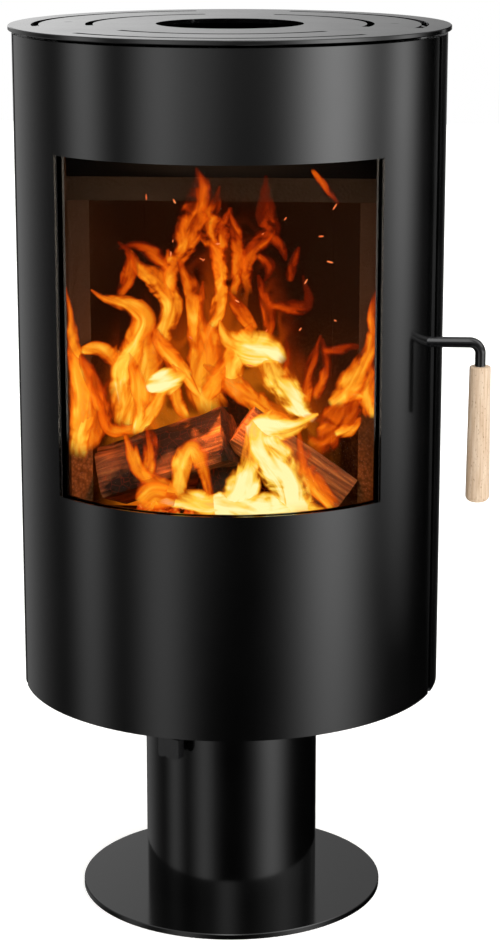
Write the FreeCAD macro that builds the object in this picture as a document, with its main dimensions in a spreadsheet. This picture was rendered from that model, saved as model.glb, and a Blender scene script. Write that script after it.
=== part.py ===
"""Free-standing wood stove: a steel drum with a full-height curved door, on a round pedestal.

Millimetres and degrees. The origin is the centre of the base plate's underside, +Z is up and the
door faces -Y. An azimuth is measured about the drum's axis from the door's centre, positive
towards +X, the latch side.
"""
import FreeCAD
import Part
import math
import operator
import os
import types

import Sketcher

os.makedirs("parts", exist_ok=True)
doc = FreeCAD.newDocument("WoodStove")

# Driving dimensions
SIZES = {
    # whole stove
    "stove_height": 977,
    "drum_radius": 232,
    "drum_bottom": 252.5,
    "running_gap": 0.3,
    "pin_clearance": 0.05,
    "overrun": 6,
    # pedestal
    "base_radius": 170,
    "base_gauge": 6,
    "base_chamfer": 0.8,
    "column_radius": 96.85,
    "column_wall": 4,
    "ring_width": 22,
    "ring_gauge": 8,
    "foot_screw_radius": 3,
    "foot_screw_head": 6,
    "foot_screw_cone": 3,
    "head_bolt_radius": 4,
    "head_bolt_head": 6.5,
    "head_bolt_rise": 8,
    "head_bolt_half_spread": 120,
    "air_collar_radius": 50,
    "air_collar_wall": 2,
    "air_collar_reach": 40,
    "air_collar_height": 110,
    # drum floor and air control
    "floor_lift": 0.5,
    "floor_gauge": 6,
    "lever_azimuth": -32,
    "lever_travel": 20,
    "lever_width": 18,
    "lever_gauge": 3,
    "lever_start": 30,
    "lever_reach": 114,
    "lever_bend": 6,
    "lever_end": 189,
    "lever_slot_room": 2,
    "tab_width": 28,
    "tab_depth": 10,
    "tab_top": 206,
    "tab_bottom": 182,
    "tab_lobe_radius": 6,
    "tab_corner": 3,
    "port_inner": 24,
    "port_outer": 56,
    "port_angle": 40,
    "shutter_rim": 6,
    "shutter_gauge": 2.5,
    "pivot_radius": 4,
    "pivot_head_radius": 9,
    "pivot_head_rise": 4,
    # front frame and firebox
    "door_depth": 18,
    "seal_depth": 10,
    "frame_gauge": 8,
    "post_inset": 5.34,
    "post_width": 28.48,
    "sill_height": 25,
    "lintel_height": 25,
    "shell_gauge": 4,
    "hearth_lift": 121,
    "hearth_gauge": 6,
    "crown_drop": 64,
    "crown_gauge": 6,
    "lining_gap": 0.5,
    "lining_gauge": 25,
    "lining_drop": 105,
    "brick_gauge": 25,
    "brick_side": 74,
    "brick_front": 91,
    "grate_gauge": 14,
    "grate_rest": 9,
    "grate_rim": 10,
    "grate_slot": 9,
    "grate_bar": 8,
    "guard_inset": 12,
    "guard_gauge": 4,
    "guard_height": 66,
    "guard_half_angle": 52,
    "guard_slot_angle": 8,
    "guard_slot_margin": 18,
    "baffle_gauge": 25,
    "baffle_front": 95,
    "wash_depth": 22,
    "wash_gauge": 2.5,
    "wash_height": 37,
    "wash_slot": 4,
    "wash_half_angle": 55,
    # flue collar
    "flue_radius": 75.5,
    "flue_ledge": 6,
    "collar_wall": 3,
    "collar_height": 55,
    "collar_flange": 26,
    "collar_flange_gauge": 5,
    "collar_bolt_radius": 4,
    "collar_bolt_head": 6.5,
    "collar_bolt_rise": 8,
    # ash pan
    "pan_side": 80,
    "pan_room": 4.8,
    "pan_rear": 87,
    "pan_headroom": 34.5,
    "pan_gauge": 2,
    "pan_lift": 1.5,
    "pan_lip_half_width": 60,
    "pan_lip_reach": 16,
    "pan_lip_drop": 12,
    "runner_inset": 16,
    "runner_width": 14,
    "runner_gauge": 2.5,
    # casing
    "casing_gauge": 2,
    "casing_flange": 14,
    "casing_lip": 15,
    "seam_gap": 9.3,
    "spacer_radius": 8,
    "spacer_lift": 47.5,
    "spacer_drop": 45,
    "spacer_half_spread": 70,
    "casing_screw_radius": 3,
    "casing_screw_head": 6,
    "casing_screw_rise": 2.6,
    "casing_screw_dome": 8.5,
    # top plate
    "top_plate_overhang": 4,
    "top_plate_gauge": 5,
    "top_plate_edge": 0.8,
    "top_gap": 3,
    "top_hole_radius": 79,
    "slot_width": 8,
    "inner_slot_radius": 150,
    "outer_slot_inset": 28.5,
    "slot_angle": 90,
    "gusset_slope": 33,
    "gusset_inset": 6,
    "gusset_gauge": 4,
    "gusset_foot_height": 26,
    "gusset_hole_radius": 9,
    "standoff_radius": 7,
    "standoff_bore": 24,
    "top_screw_inset": 60.5,
    "top_screw_azimuth": 94,
    "top_screw_radius": 2.5,
    "top_screw_head": 5,
    "top_screw_cone": 2.5,
    # door
    "door_half_angle": 73.5,
    "door_gauge": 2.5,
    "door_flange": 14,
    "door_lip": 12,
    "window_half_angle": 46.7,
    "window_lift": 90,
    "window_drop": 114.5,
    "liner_gauge": 2.5,
    "liner_inset": 36.44,
    "liner_bottom_gap": 11.5,
    "liner_top_gap": 14,
    "sight_half_angle": 48.6,
    "sight_margin": 2,
    "glass_gauge": 4,
    "glass_overlap": 10,
    "glass_seal_gauge": 2.5,
    "glass_seal_margin": 1.5,
    "clip_angle": 8,
    "clip_spread": 30,
    "clip_foot": 12,
    "clip_hold": 7,
    "clip_gauge": 2.5,
    "seal_width": 10,
    "seal_round": 3,
    # hinges
    "hinge_inset": 9,
    "hinge_setback": 6,
    "hinge_pin_radius": 4,
    "hinge_pin_tip": 3,
    "hinge_eye_radius": 6.2,
    "hinge_arm_angle": 50,
    "bracket_gauge": 6,
    "bracket_lift": 1,
    "bracket_neck": 42,
    "bracket_foot": 22,
    "bracket_foot_half_width": 12,
    "bracket_screw_radius": 2.5,
    "bracket_screw_head": 4.5,
    "bracket_screw_rise": 4,
    "bracket_screw_half_pitch": 6.5,
    "washer_gauge": 1.5,
    "lug_gauge": 8,
    "lug_margin": 0.5,
    # handle and latch
    "handle_height": 651,
    "handle_inset": 17,
    "handle_clearance": 39.4,
    "rod_radius": 5.65,
    "rod_bend": 11.5,
    "spigot_radius": 4,
    "grip_length": 148,
    "grip_drop": 25.4,
    "grip_top_radius": 11.25,
    "grip_bottom_radius": 12.85,
    "grip_end_round": 7,
    "grip_edge_round": 1.5,
    "grip_bore_depth": 60,
    "bush_radius": 10,
    "hook_gauge": 5,
    "hook_inset": 18,
    "hook_hub_radius": 9.5,
    "hook_tip": 6.6,
    "hook_low_angle": 26,
    "hook_high_angle": 14,
    "hook_slot_room": 0.4,
    "nut_radius": 7,
    "nut_gauge": 6,
    "keeper_distance": 34,
    "keeper_block_half_width": 12,
    "keeper_block_half_height": 16,
    "keeper_pin_radius": 3,
    "keeper_pin_head": 5,
    "keeper_pin_rise": 1.5,
    "roller_radius": 6,
    "roller_room": 0.5,
}

# Counts
FOOT_SCREWS = 6
HEAD_BOLTS = 5
AIR_PORTS = 4
COLLAR_BOLTS = 4
LINING_PANELS = ("lining_right", "lining_rear", "lining_left")
GUARD_SLOTS = 9
SLOTS_PER_RING = 3
GUSSETS = 3
SPACERS_PER_RING = 3
CLIPS_PER_EDGE = 3
GRIP_LOBES = 3
NUT_SIDES = 6

FULL_TURN = 360
HALF_TURN = 180
QUARTER_TURN = 90

UP = FreeCAD.Vector(0, 0, 1)
SKETCH_UP = FreeCAD.Vector(0, 1, 0)

# Sizes as expressions of the sheet
SIGNS = {"+": operator.add, "-": operator.sub, "*": operator.mul, "/": operator.truediv}


class Size:
    """A number together with the sheet expression that gives it."""

    def __init__(self, value, text):
        self.value = value
        self.text = text

    def __add__(self, other):
        return merge(self, "+", other)

    def __radd__(self, other):
        return merge(other, "+", self)

    def __sub__(self, other):
        return merge(self, "-", other)

    def __rsub__(self, other):
        return merge(other, "-", self)

    def __mul__(self, other):
        return merge(self, "*", other)

    def __rmul__(self, other):
        return merge(other, "*", self)

    def __truediv__(self, other):
        return merge(self, "/", other)

    def __neg__(self):
        return merge(0, "-", self)


def as_size(item):
    """A plain number as a Size, and a Size as it is."""
    return item if isinstance(item, Size) else Size(float(item), repr(float(item)))


def merge(left, sign, right):
    """Two sizes joined by one sign of arithmetic."""
    left = as_size(left)
    right = as_size(right)
    return Size(SIGNS[sign](left.value, right.value), f"({left.text} {sign} {right.text})")


def cosine(angle):
    return Size(math.cos(math.radians(angle.value)), f"cos({angle.text})")


def sine(angle):
    return Size(math.sin(math.radians(angle.value)), f"sin({angle.text})")


def root(area):
    return Size(math.sqrt(area.value), f"sqrt({area.text})")


def arc_angle(length, radius):
    """Angle in degrees of an arc of that length."""
    return length / radius * HALF_TURN / Size(math.pi, "pi")


def chord_reach(radius, offset):
    """Distance along a line that passes a circle's centre at that offset, out to the circle."""
    return root(radius * radius - offset * offset)


sheet = doc.addObject("Spreadsheet::Sheet", "Sizes")
for row, (alias, number) in enumerate(SIZES.items(), start=1):
    sheet.set(f"A{row}", alias)
    sheet.set(f"B{row}", str(number))
    sheet.setAlias(f"B{row}", alias)
doc.recompute()
size = types.SimpleNamespace(**{k: Size(float(v), f"Sizes.{k}") for k, v in SIZES.items()})
zero = as_size(0)

# Radii of the layers, from the outside of the drum inwards
door_inner = size.drum_radius - size.door_gauge
casing_inner = size.drum_radius - size.casing_gauge
glass_outer = door_inner - size.glass_seal_gauge
glass_inner = glass_outer - size.glass_gauge
liner_inner = size.drum_radius - size.door_depth
liner_outer = liner_inner + size.liner_gauge
frame_outer = liner_inner - size.seal_depth
shell_outer = frame_outer - size.frame_gauge
shell_inner = shell_outer - size.shell_gauge
lining_outer = shell_inner - size.lining_gap
lining_inner = lining_outer - size.lining_gauge
hearth_radius = lining_inner - size.lining_gap
guard_radius = shell_outer - size.guard_inset
grate_width = 2 * (hearth_radius - size.brick_side)
grate_depth = 2 * (hearth_radius - size.brick_front)
pan_half_width = shell_inner - size.pan_side
pan_front = chord_reach(shell_inner - size.pan_room, pan_half_width)
pan_back = shell_inner - size.pan_rear
runner_half_span = pan_half_width - size.runner_inset
column_inner = size.column_radius - size.column_wall
collar_outer = size.flue_radius + size.collar_wall
top_plate_radius = size.drum_radius + size.top_plate_overhang
outer_slot_radius = top_plate_radius - size.outer_slot_inset
top_screw_place = top_plate_radius - size.top_screw_inset
gusset_reach = frame_outer - size.gusset_inset
gusset_foot = gusset_reach - size.gusset_slope

# Levels, from the floor upwards
base_top = size.base_gauge
floor_low = size.drum_bottom + size.floor_lift
floor_top = floor_low + size.floor_gauge
sill_top = floor_top + size.sill_height
hearth_height = sill_top + size.hearth_lift
hearth_top = hearth_height + size.hearth_gauge
plate_low = size.stove_height - size.top_plate_gauge
drum_top = plate_low - size.top_gap
crown_height = drum_top - size.crown_drop
crown_top = crown_height + size.crown_gauge
lining_top = crown_height - size.lining_drop
window_low = hearth_height + size.window_lift
window_high = drum_top - size.window_drop
spacer_low = size.drum_bottom + size.spacer_lift
spacer_high = crown_height - size.spacer_drop
liner_low = size.drum_bottom + size.liner_bottom_gap
liner_high = drum_top - size.liner_top_gap
pan_low = sill_top + size.pan_lift
pan_height = hearth_height - size.pan_headroom - pan_low
shutter_top = floor_low - size.running_gap
shutter_low = shutter_top - size.shutter_gauge
lever_low = shutter_low - size.lever_gauge

# Places round the drum
seam_angle = arc_angle(size.seam_gap, size.drum_radius)
casing_half_angle = HALF_TURN - size.door_half_angle - seam_angle
liner_half_angle = size.door_half_angle - arc_angle(size.liner_inset, size.drum_radius)
post_azimuth = liner_half_angle - arc_angle(size.post_inset, frame_outer)
post_angle = arc_angle(size.post_width, frame_outer)
frame_half_angle = post_azimuth - post_angle / 2
hinge_radius = size.drum_radius - size.hinge_inset
hinge_azimuth = -(size.door_half_angle - arc_angle(size.hinge_setback, hinge_radius))
hinge_x = hinge_radius * sine(hinge_azimuth)
hinge_y = -(hinge_radius * cosine(hinge_azimuth))
lever_back = size.lever_azimuth + HALF_TURN
ring_inner = column_inner - size.ring_width
ring_middle = column_inner - size.ring_width / 2
flange_outer = collar_outer + size.collar_flange
flange_middle = collar_outer + size.collar_flange / 2

# Heights of the hinges: bracket, washer and lug stacked upwards
lower_bracket = size.drum_bottom + size.door_gauge + size.bracket_lift
upper_bracket = crown_top
lug_rise = size.bracket_gauge + size.washer_gauge + size.running_gap

# Handle and latch, on an axis parallel to X
handle_azimuth = size.door_half_angle - arc_angle(size.handle_inset, size.drum_radius)
handle_setback = size.drum_radius * cosine(handle_azimuth)
handle_y = -handle_setback
handle_reach = size.drum_radius + size.handle_clearance
hook_place = size.drum_radius * sine(handle_azimuth) - size.hook_inset
hook_outside = hook_place + size.hook_gauge
keeper_y = handle_y + size.keeper_distance
roller_low = hook_place - size.roller_room
roller_high = hook_outside + size.roller_room
keeper_block_face = roller_low - size.roller_room
grip_top = size.handle_height - size.grip_drop
grip_bottom = grip_top - size.grip_length


# Tools for bodies, sketches and features
def bind(item, path, amount):
    """Tie one property to the sheet."""
    item.setExpression(path, as_size(amount).text)


def new_body(label):
    body = doc.addObject("PartDesign::Body", label)
    body.Label = label
    body.AllowCompound = True
    return body


def place(body, x=zero, y=zero, z=zero, turn=None):
    """Put a body at a point, turned about the vertical."""
    body.Placement = FreeCAD.Placement(FreeCAD.Vector(), FreeCAD.Rotation(UP, 1 if turn else 0))
    bind(body, "Placement.Base.x", x)
    bind(body, "Placement.Base.y", y)
    bind(body, "Placement.Base.z", z)
    if turn:
        bind(body, "Placement.Rotation.Angle", turn)


def face_azimuth(body, azimuth):
    """Turn a body so that its own +X points at an azimuth of the drum."""
    place(body, turn=azimuth - QUARTER_TURN)


def lay_along_x(body, x, y, z):
    """Put a body at a point with its own Z along +X and its own X along +Y."""
    place(body, x, y, z)
    cycle = FreeCAD.Rotation(FreeCAD.Vector(1, 1, 1), FULL_TURN / 3)
    body.Placement = FreeCAD.Placement(FreeCAD.Vector(), cycle)


def new_sketch(body, plane, lift=None, turn=None):
    """A sketch on one of the body's planes, lifted off it or turned about the vertical."""
    sketch = body.newObject("Sketcher::SketchObject", "Sketch")
    support = next(f for f in body.Origin.OriginFeatures if f.Role == plane)
    sketch.AttachmentSupport = [(support, "")]
    sketch.MapMode = "FlatFace"
    if turn is not None:
        axis = UP if plane == "XY_Plane" else SKETCH_UP
        sketch.AttachmentOffset = FreeCAD.Placement(FreeCAD.Vector(), FreeCAD.Rotation(axis, 1))
        bind(sketch, "AttachmentOffset.Rotation.Angle", turn)
    if lift is not None:
        bind(sketch, "AttachmentOffset.Base.z", lift)
    return sketch


def constrain(sketch, kind, where, amount):
    """A dimension tied to the sheet."""
    index = sketch.addConstraint(Sketcher.Constraint(kind, *where, amount.value))
    sketch.setExpression(f"Constraints[{index}]", amount.text)


def hold(sketch, edge, end, point):
    """Fix an edge's end, or a circle's centre, at a point."""
    x, y = (as_size(c) for c in point)
    constrain(sketch, "DistanceX", (-1, 1, edge, end), x)
    constrain(sketch, "DistanceY", (-1, 1, edge, end), y)


def flat(point):
    x, y = (as_size(c) for c in point)
    return FreeCAD.Vector(x.value, y.value, 0)


def minor_arc(start, end, radius, side):
    """Arc between two points whose centre lies left (1) or right (-1) of the way between them."""
    chord = end - start
    left = FreeCAD.Vector(-chord.y, chord.x, 0).normalize()
    drop = math.sqrt(max(radius**2 - chord.Length**2 / 4, 0))
    centre = (start + end) * 0.5 + left * drop * side
    first, last = (start, end) if side > 0 else (end, start)
    angles = [math.atan2(p.y - centre.y, p.x - centre.x) for p in (first, last)]
    return Part.ArcOfCircle(Part.Circle(centre, UP, radius), *angles)


def outline(sketch, points, arcs=None):
    """Closed outline through points; arcs gives {edge number: (radius, side)} for round edges."""
    arcs = arcs or {}
    edges = []
    for number, point in enumerate(points):
        start = flat(point)
        end = flat(points[(number + 1) % len(points)])
        if number in arcs:
            radius, side = arcs[number]
            edge = sketch.addGeometry(minor_arc(start, end, radius.value, side), False)
            constrain(sketch, "Radius", (edge,), radius)
            edges.append((edge, 1, 2) if side > 0 else (edge, 2, 1))
        else:
            edge = sketch.addGeometry(Part.LineSegment(start, end), False)
            edges.append((edge, 1, 2))
    for number, (edge, _, end) in enumerate(edges):
        following, start, _ = edges[(number + 1) % len(edges)]
        sketch.addConstraint(Sketcher.Constraint("Coincident", edge, end, following, start))
    for (edge, start, _), point in zip(edges, points):
        hold(sketch, edge, start, point)


def circle(sketch, x, y, radius):
    edge = sketch.addGeometry(Part.Circle(flat((x, y)), UP, radius.value), False)
    hold(sketch, edge, 3, (x, y))
    constrain(sketch, "Radius", (edge,), radius)


def axis_line(sketch, start, end):
    """Construction line that a profile turns about."""
    edge = sketch.addGeometry(Part.LineSegment(flat(start), flat(end)), True)
    hold(sketch, edge, 1, start)
    hold(sketch, edge, 2, end)


def rectangle(left, low, right, high):
    return [(left, low), (right, low), (right, high), (left, high)]


def pad(body, sketch, length, symmetric=False):
    feature = body.newObject("PartDesign::Pad", "Pad")
    feature.Profile = sketch
    feature.Midplane = symmetric
    bind(feature, "Length", length)
    return feature


def cut_through(body, sketch):
    """Cut the sketch through the body both ways."""
    feature = body.newObject("PartDesign::Pocket", "Cut")
    feature.Profile = sketch
    feature.Type = "ThroughAll"
    feature.Midplane = True
    return feature


def cut_deep(body, sketch, depth, reverse=False):
    """Cut the sketch to a depth on one side of its plane."""
    feature = body.newObject("PartDesign::Pocket", "Cut")
    feature.Profile = sketch
    feature.Reversed = reverse
    bind(feature, "Length", depth)
    return feature


def turned(body, points, angle=None, arcs=None, azimuth=None, cut=False):
    """Revolve a profile of (radius, height) about the body's vertical axis, evenly to both sides."""
    sketch = new_sketch(body, "XZ_Plane", turn=azimuth)
    outline(sketch, points, arcs)
    return spin(body, sketch, "V_Axis", angle, cut)


def turned_about(body, points, start, end, arcs=None, azimuth=None, cut=False):
    """Revolve a profile fully about a line of its own sketch."""
    sketch = new_sketch(body, "XZ_Plane", turn=azimuth)
    outline(sketch, points, arcs)
    axis_line(sketch, start, end)
    return spin(body, sketch, "Axis0", None, cut)


def spin(body, sketch, axis, angle, cut):
    feature = body.newObject("PartDesign::Groove" if cut else "PartDesign::Revolution", "Turn")
    feature.Profile = sketch
    feature.ReferenceAxis = (sketch, [axis])
    feature.Midplane = True
    bind(feature, "Angle", FULL_TURN if angle is None else angle)
    return feature


def repeat_round(body, features, count, span=FULL_TURN):
    """Repeat features about the body's vertical axis."""
    pattern = body.newObject("PartDesign::PolarPattern", "Ring")
    pattern.Originals = features
    pattern.Axis = (next(f for f in body.Origin.OriginFeatures if f.Role == "Z_Axis"), [""])
    bind(pattern, "Angle", span)
    pattern.Occurrences = count
    body.Tip = pattern
    return pattern


def round_edges(body, radius, wanted):
    """Round the edges of the body for which wanted(edge) is true."""
    doc.recompute()
    tip = body.Tip
    names = [f"Edge{n}" for n, e in enumerate(tip.Shape.Edges, start=1) if wanted(e)]
    feature = body.newObject("PartDesign::Fillet", "Round")
    feature.Base = (tip, names)
    bind(feature, "Radius", radius)
    return feature


def countersunk(x, face, toward, head, cone, shank, length):
    """Half profile of a countersunk screw whose head lies in a face and which runs up or down."""
    return [
        (x, face),
        (x + head, face),
        (x + shank, face + toward * cone),
        (x + shank, face + toward * length),
        (x, face + toward * length),
    ]


def cap_screw(x, seat, toward, head, rise, shank, length):
    """Half profile of a screw whose round head sits on a seat and which runs up or down."""
    return [
        (x, seat - toward * rise),
        (x + head, seat - toward * rise),
        (x + head, seat),
        (x + shank, seat),
        (x + shank, seat + toward * length),
        (x, seat + toward * length),
    ]


# Pedestal
def foot_screw(shank, length):
    """Profile of a foot screw, and of its hole when shank and length are larger."""
    return countersunk(
        ring_middle, zero, 1, size.foot_screw_head, size.foot_screw_cone, shank, length
    )


def vertical(x):
    """Ends of a vertical turning axis at a distance from the drum's axis."""
    return (x, zero), (x, base_top)


def make_base_plate():
    body = new_body("base_plate")
    profile = [
        (zero, zero),
        (size.base_radius, zero),
        (size.base_radius, base_top - size.base_chamfer),
        (size.base_radius - size.base_chamfer, base_top),
        (zero, base_top),
    ]
    turned(body, profile)
    hole = foot_screw(size.foot_screw_radius + size.pin_clearance, base_top + size.overrun)
    cut = turned_about(body, hole, *vertical(ring_middle), cut=True)
    repeat_round(body, [cut], FOOT_SCREWS)


def make_pedestal_column():
    """Tube with a rear hole for the air collar and a slot for the lever under the drum floor."""
    body = new_body("pedestal_column")
    turned(body, rectangle(column_inner, base_top, size.column_radius, floor_low))
    sketch = new_sketch(body, "XZ_Plane")
    circle(sketch, zero, size.air_collar_height, size.air_collar_radius)
    cut_deep(body, sketch, size.column_radius + size.overrun)
    slot = rectangle(
        column_inner - size.overrun,
        lever_low - size.lever_slot_room,
        size.column_radius + size.overrun,
        floor_low + size.overrun,
    )
    turned(body, slot, lever_room(column_inner), azimuth=size.lever_azimuth - QUARTER_TURN, cut=True)


def lever_room(radius):
    """Angle that the lever sweeps at a radius, with room beside it."""
    half_width = size.lever_width / 2 + size.lever_slot_room
    return 2 * (size.lever_travel + arc_angle(half_width, radius))


def make_column_foot_ring():
    body = new_body("column_foot_ring")
    turned(body, rectangle(ring_inner, base_top, column_inner, base_top + size.ring_gauge))
    sketch = new_sketch(body, "XY_Plane")
    circle(sketch, ring_middle, zero, size.foot_screw_radius)
    repeat_round(body, [cut_through(body, sketch)], FOOT_SCREWS)


def make_foot_screws():
    body = new_body("foot_screws")
    screw = foot_screw(size.foot_screw_radius, base_top + size.ring_gauge)
    feature = turned_about(body, screw, *vertical(ring_middle))
    repeat_round(body, [feature], FOOT_SCREWS)


def head_bolt_holes(body):
    """Bolt holes shared by the head ring and the drum floor, symmetric behind the lever."""
    sketch = new_sketch(body, "XY_Plane", turn=-size.head_bolt_half_spread)
    circle(sketch, ring_middle, zero, size.head_bolt_radius)
    repeat_round(body, [cut_through(body, sketch)], HEAD_BOLTS, 2 * size.head_bolt_half_spread)


def make_column_head_ring():
    """Ring inside the column's top, open where the lever swings."""
    body = new_body("column_head_ring")
    face_azimuth(body, lever_back)
    profile = rectangle(ring_inner, floor_low - size.ring_gauge, column_inner, floor_low)
    turned(body, profile, FULL_TURN - lever_room(ring_inner))
    head_bolt_holes(body)


def make_head_bolts():
    body = new_body("head_bolts")
    face_azimuth(body, lever_back)
    screw = cap_screw(
        ring_middle,
        floor_low - size.ring_gauge,
        1,
        size.head_bolt_head,
        size.head_bolt_rise,
        size.head_bolt_radius,
        size.ring_gauge + size.floor_gauge,
    )
    first = -size.head_bolt_half_spread
    feature = turned_about(body, screw, *vertical(ring_middle), azimuth=first)
    repeat_round(body, [feature], HEAD_BOLTS, 2 * size.head_bolt_half_spread)


def make_air_inlet_collar():
    """Spigot for an outside air duct, through the back of the column."""
    body = new_body("air_inlet_collar")
    sketch = new_sketch(body, "XZ_Plane", lift=-(size.column_radius + size.air_collar_reach))
    circle(sketch, zero, size.air_collar_height, size.air_collar_radius)
    circle(sketch, zero, size.air_collar_height, size.air_collar_radius - size.air_collar_wall)
    inner_end = chord_reach(column_inner, size.air_collar_radius) - size.column_wall
    pad(body, sketch, size.column_radius + size.air_collar_reach - inner_end)


# Drum floor and air control
def cut_air_ports(body, low, high):
    profile = rectangle(size.port_inner, low - size.overrun, size.port_outer, high + size.overrun)
    port = turned(body, profile, size.port_angle, cut=True)
    repeat_round(body, [port], AIR_PORTS)


def make_drum_floor():
    body = new_body("drum_floor")
    face_azimuth(body, lever_back)
    sketch = new_sketch(body, "XY_Plane", lift=floor_low)
    circle(sketch, zero, zero, frame_outer)
    circle(sketch, zero, zero, size.pivot_radius)
    pad(body, sketch, size.floor_gauge)
    cut_air_ports(body, floor_low, floor_top)
    head_bolt_holes(body)


def make_air_shutter():
    """Disc with the floor's ports, half open at rest."""
    body = new_body("air_shutter")
    face_azimuth(body, lever_back + size.port_angle / 2)
    sketch = new_sketch(body, "XY_Plane", lift=shutter_low)
    circle(sketch, zero, zero, size.port_outer + size.shutter_rim)
    circle(sketch, zero, zero, size.pivot_radius + size.pin_clearance)
    pad(body, sketch, size.shutter_gauge)
    cut_air_ports(body, shutter_low, shutter_top)


def make_air_lever():
    """Flat bar under the shutter that leaves the column by its slot and bends down."""
    body = new_body("air_lever")
    face_azimuth(body, size.lever_azimuth)
    bend_inside = size.lever_bend
    bend_outside = size.lever_bend + size.lever_gauge
    inner_face = size.lever_reach - size.lever_gauge
    profile = [
        (size.lever_start, lever_low),
        (inner_face - bend_inside, lever_low),
        (inner_face, lever_low - bend_inside),
        (inner_face, size.lever_end),
        (size.lever_reach, size.lever_end),
        (size.lever_reach, shutter_low - bend_outside),
        (size.lever_reach - bend_outside, shutter_low),
        (size.lever_start, shutter_low),
    ]
    sketch = new_sketch(body, "XZ_Plane")
    outline(sketch, profile, {1: (bend_inside, -1), 5: (bend_outside, 1)})
    pad(body, sketch, size.lever_width, symmetric=True)


def make_lever_grip():
    """Finger tab pushed on the lever's end, with three lobes along its lower edge."""
    body = new_body("lever_grip")
    face_azimuth(body, size.lever_azimuth)
    half = size.tab_width / 2
    lobe = size.tab_width / GRIP_LOBES
    shoulder = size.tab_bottom + size.tab_corner
    points = [(-half + lobe * n, shoulder) for n in range(GRIP_LOBES + 1)]
    points += [(half, size.tab_top), (-half, size.tab_top)]
    lobes = {edge: (size.tab_lobe_radius, 1) for edge in range(GRIP_LOBES)}
    middle = size.lever_reach - size.lever_gauge / 2
    sketch = new_sketch(body, "YZ_Plane", lift=middle - size.tab_depth / 2)
    outline(sketch, points, lobes)
    pad(body, sketch, size.tab_depth)
    socket = new_sketch(body, "XZ_Plane")
    outline(
        socket,
        rectangle(
            size.lever_reach - size.lever_gauge,
            size.lever_end,
            size.lever_reach,
            size.tab_top + size.overrun,
        ),
    )
    feature = body.newObject("PartDesign::Pocket", "Socket")
    feature.Profile = socket
    feature.Midplane = True
    bind(feature, "Length", size.lever_width)


def make_shutter_pivot():
    body = new_body("shutter_pivot")
    screw = cap_screw(
        zero,
        shutter_low - size.running_gap,
        1,
        size.pivot_head_radius,
        size.pivot_head_rise,
        size.pivot_radius,
        size.running_gap * 2 + size.shutter_gauge + size.floor_gauge,
    )
    turned(body, screw)


# Firebox
def make_firebox_shell():
    body = new_body("firebox_shell")
    face_azimuth(body, as_size(HALF_TURN))
    profile = rectangle(shell_inner, floor_top, shell_outer, crown_height)
    turned(body, profile, FULL_TURN - 2 * frame_half_angle)


def make_post(label, side):
    """Upright of the front frame, on the shell's edge."""
    body = new_body(label)
    face_azimuth(body, side * post_azimuth)
    profile = rectangle(shell_outer, floor_top, frame_outer, crown_height)
    turned(body, profile, post_angle)


def make_frame_bar(label, low, high):
    """Curved sill or lintel between the posts."""
    body = new_body(label)
    face_azimuth(body, zero)
    turned(body, rectangle(shell_outer, low, frame_outer, high), 2 * frame_half_angle)


def make_hearth_plate():
    """Floor of the firebox, with an opening that the grate rests over."""
    body = new_body("hearth_plate")
    face_azimuth(body, zero)
    sketch = new_sketch(body, "XY_Plane", lift=hearth_height)
    circle(sketch, zero, zero, shell_inner)
    pad(body, sketch, size.hearth_gauge)
    opening = new_sketch(body, "XY_Plane", lift=hearth_height)
    depth = grate_depth / 2 - size.grate_rest
    width = grate_width / 2 - size.grate_rest
    outline(opening, rectangle(-depth, -width, depth, width))
    cut_through(body, opening)


def make_grate():
    """Cast grate: a rim with bars that run from front to back."""
    body = new_body("grate")
    face_azimuth(body, zero)
    depth = grate_depth / 2 - size.lining_gap
    width = grate_width / 2 - size.lining_gap
    sketch = new_sketch(body, "XY_Plane", lift=hearth_top)
    outline(sketch, rectangle(-depth, -width, depth, width))
    pad(body, sketch, size.grate_gauge)
    pitch = size.grate_slot + size.grate_bar
    count = int((2 * (width.value - size.grate_rim.value) + size.grate_bar.value) / pitch.value)
    first = -pitch * (count - 1) / 2
    slot = new_sketch(body, "XY_Plane", lift=hearth_top)
    half_slot = size.grate_slot / 2
    half_depth = depth - size.grate_rim
    outline(slot, rectangle(-half_depth, first - half_slot, half_depth, first + half_slot))
    cut = cut_through(body, slot)
    pattern = body.newObject("PartDesign::LinearPattern", "Bars")
    pattern.Originals = [cut]
    pattern.Direction = (slot, ["V_Axis"])
    bind(pattern, "Length", pitch * (count - 1))
    pattern.Occurrences = count
    body.Tip = pattern


def make_hearth_brick(label, side):
    """Half of the hearth's brick floor, round outside and cut out for half of the grate."""
    body = new_body(label)
    face_azimuth(body, side * as_size(QUARTER_TURN))
    inner = size.lining_gap / 2
    depth = grate_depth / 2
    width = grate_width / 2
    tip = chord_reach(hearth_radius, inner)
    points = [(inner, -tip), (inner, tip), (inner, depth), (width, depth)]
    points += [(width, -depth), (inner, -depth)]
    sketch = new_sketch(body, "XY_Plane", lift=hearth_top)
    outline(sketch, points, {0: (hearth_radius, 1)})
    pad(body, sketch, size.brick_gauge)


def make_lining(label, place_in_row):
    """One of the curved fire boards round the firebox, counted from the latch side."""
    body = new_body(label)
    span = (FULL_TURN - 2 * frame_half_angle) / len(LINING_PANELS)
    face_azimuth(body, frame_half_angle + span * place_in_row + span / 2)
    profile = rectangle(lining_inner, hearth_top, lining_outer, lining_top)
    turned(body, profile, span - arc_angle(size.lining_gap, lining_inner))


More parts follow.
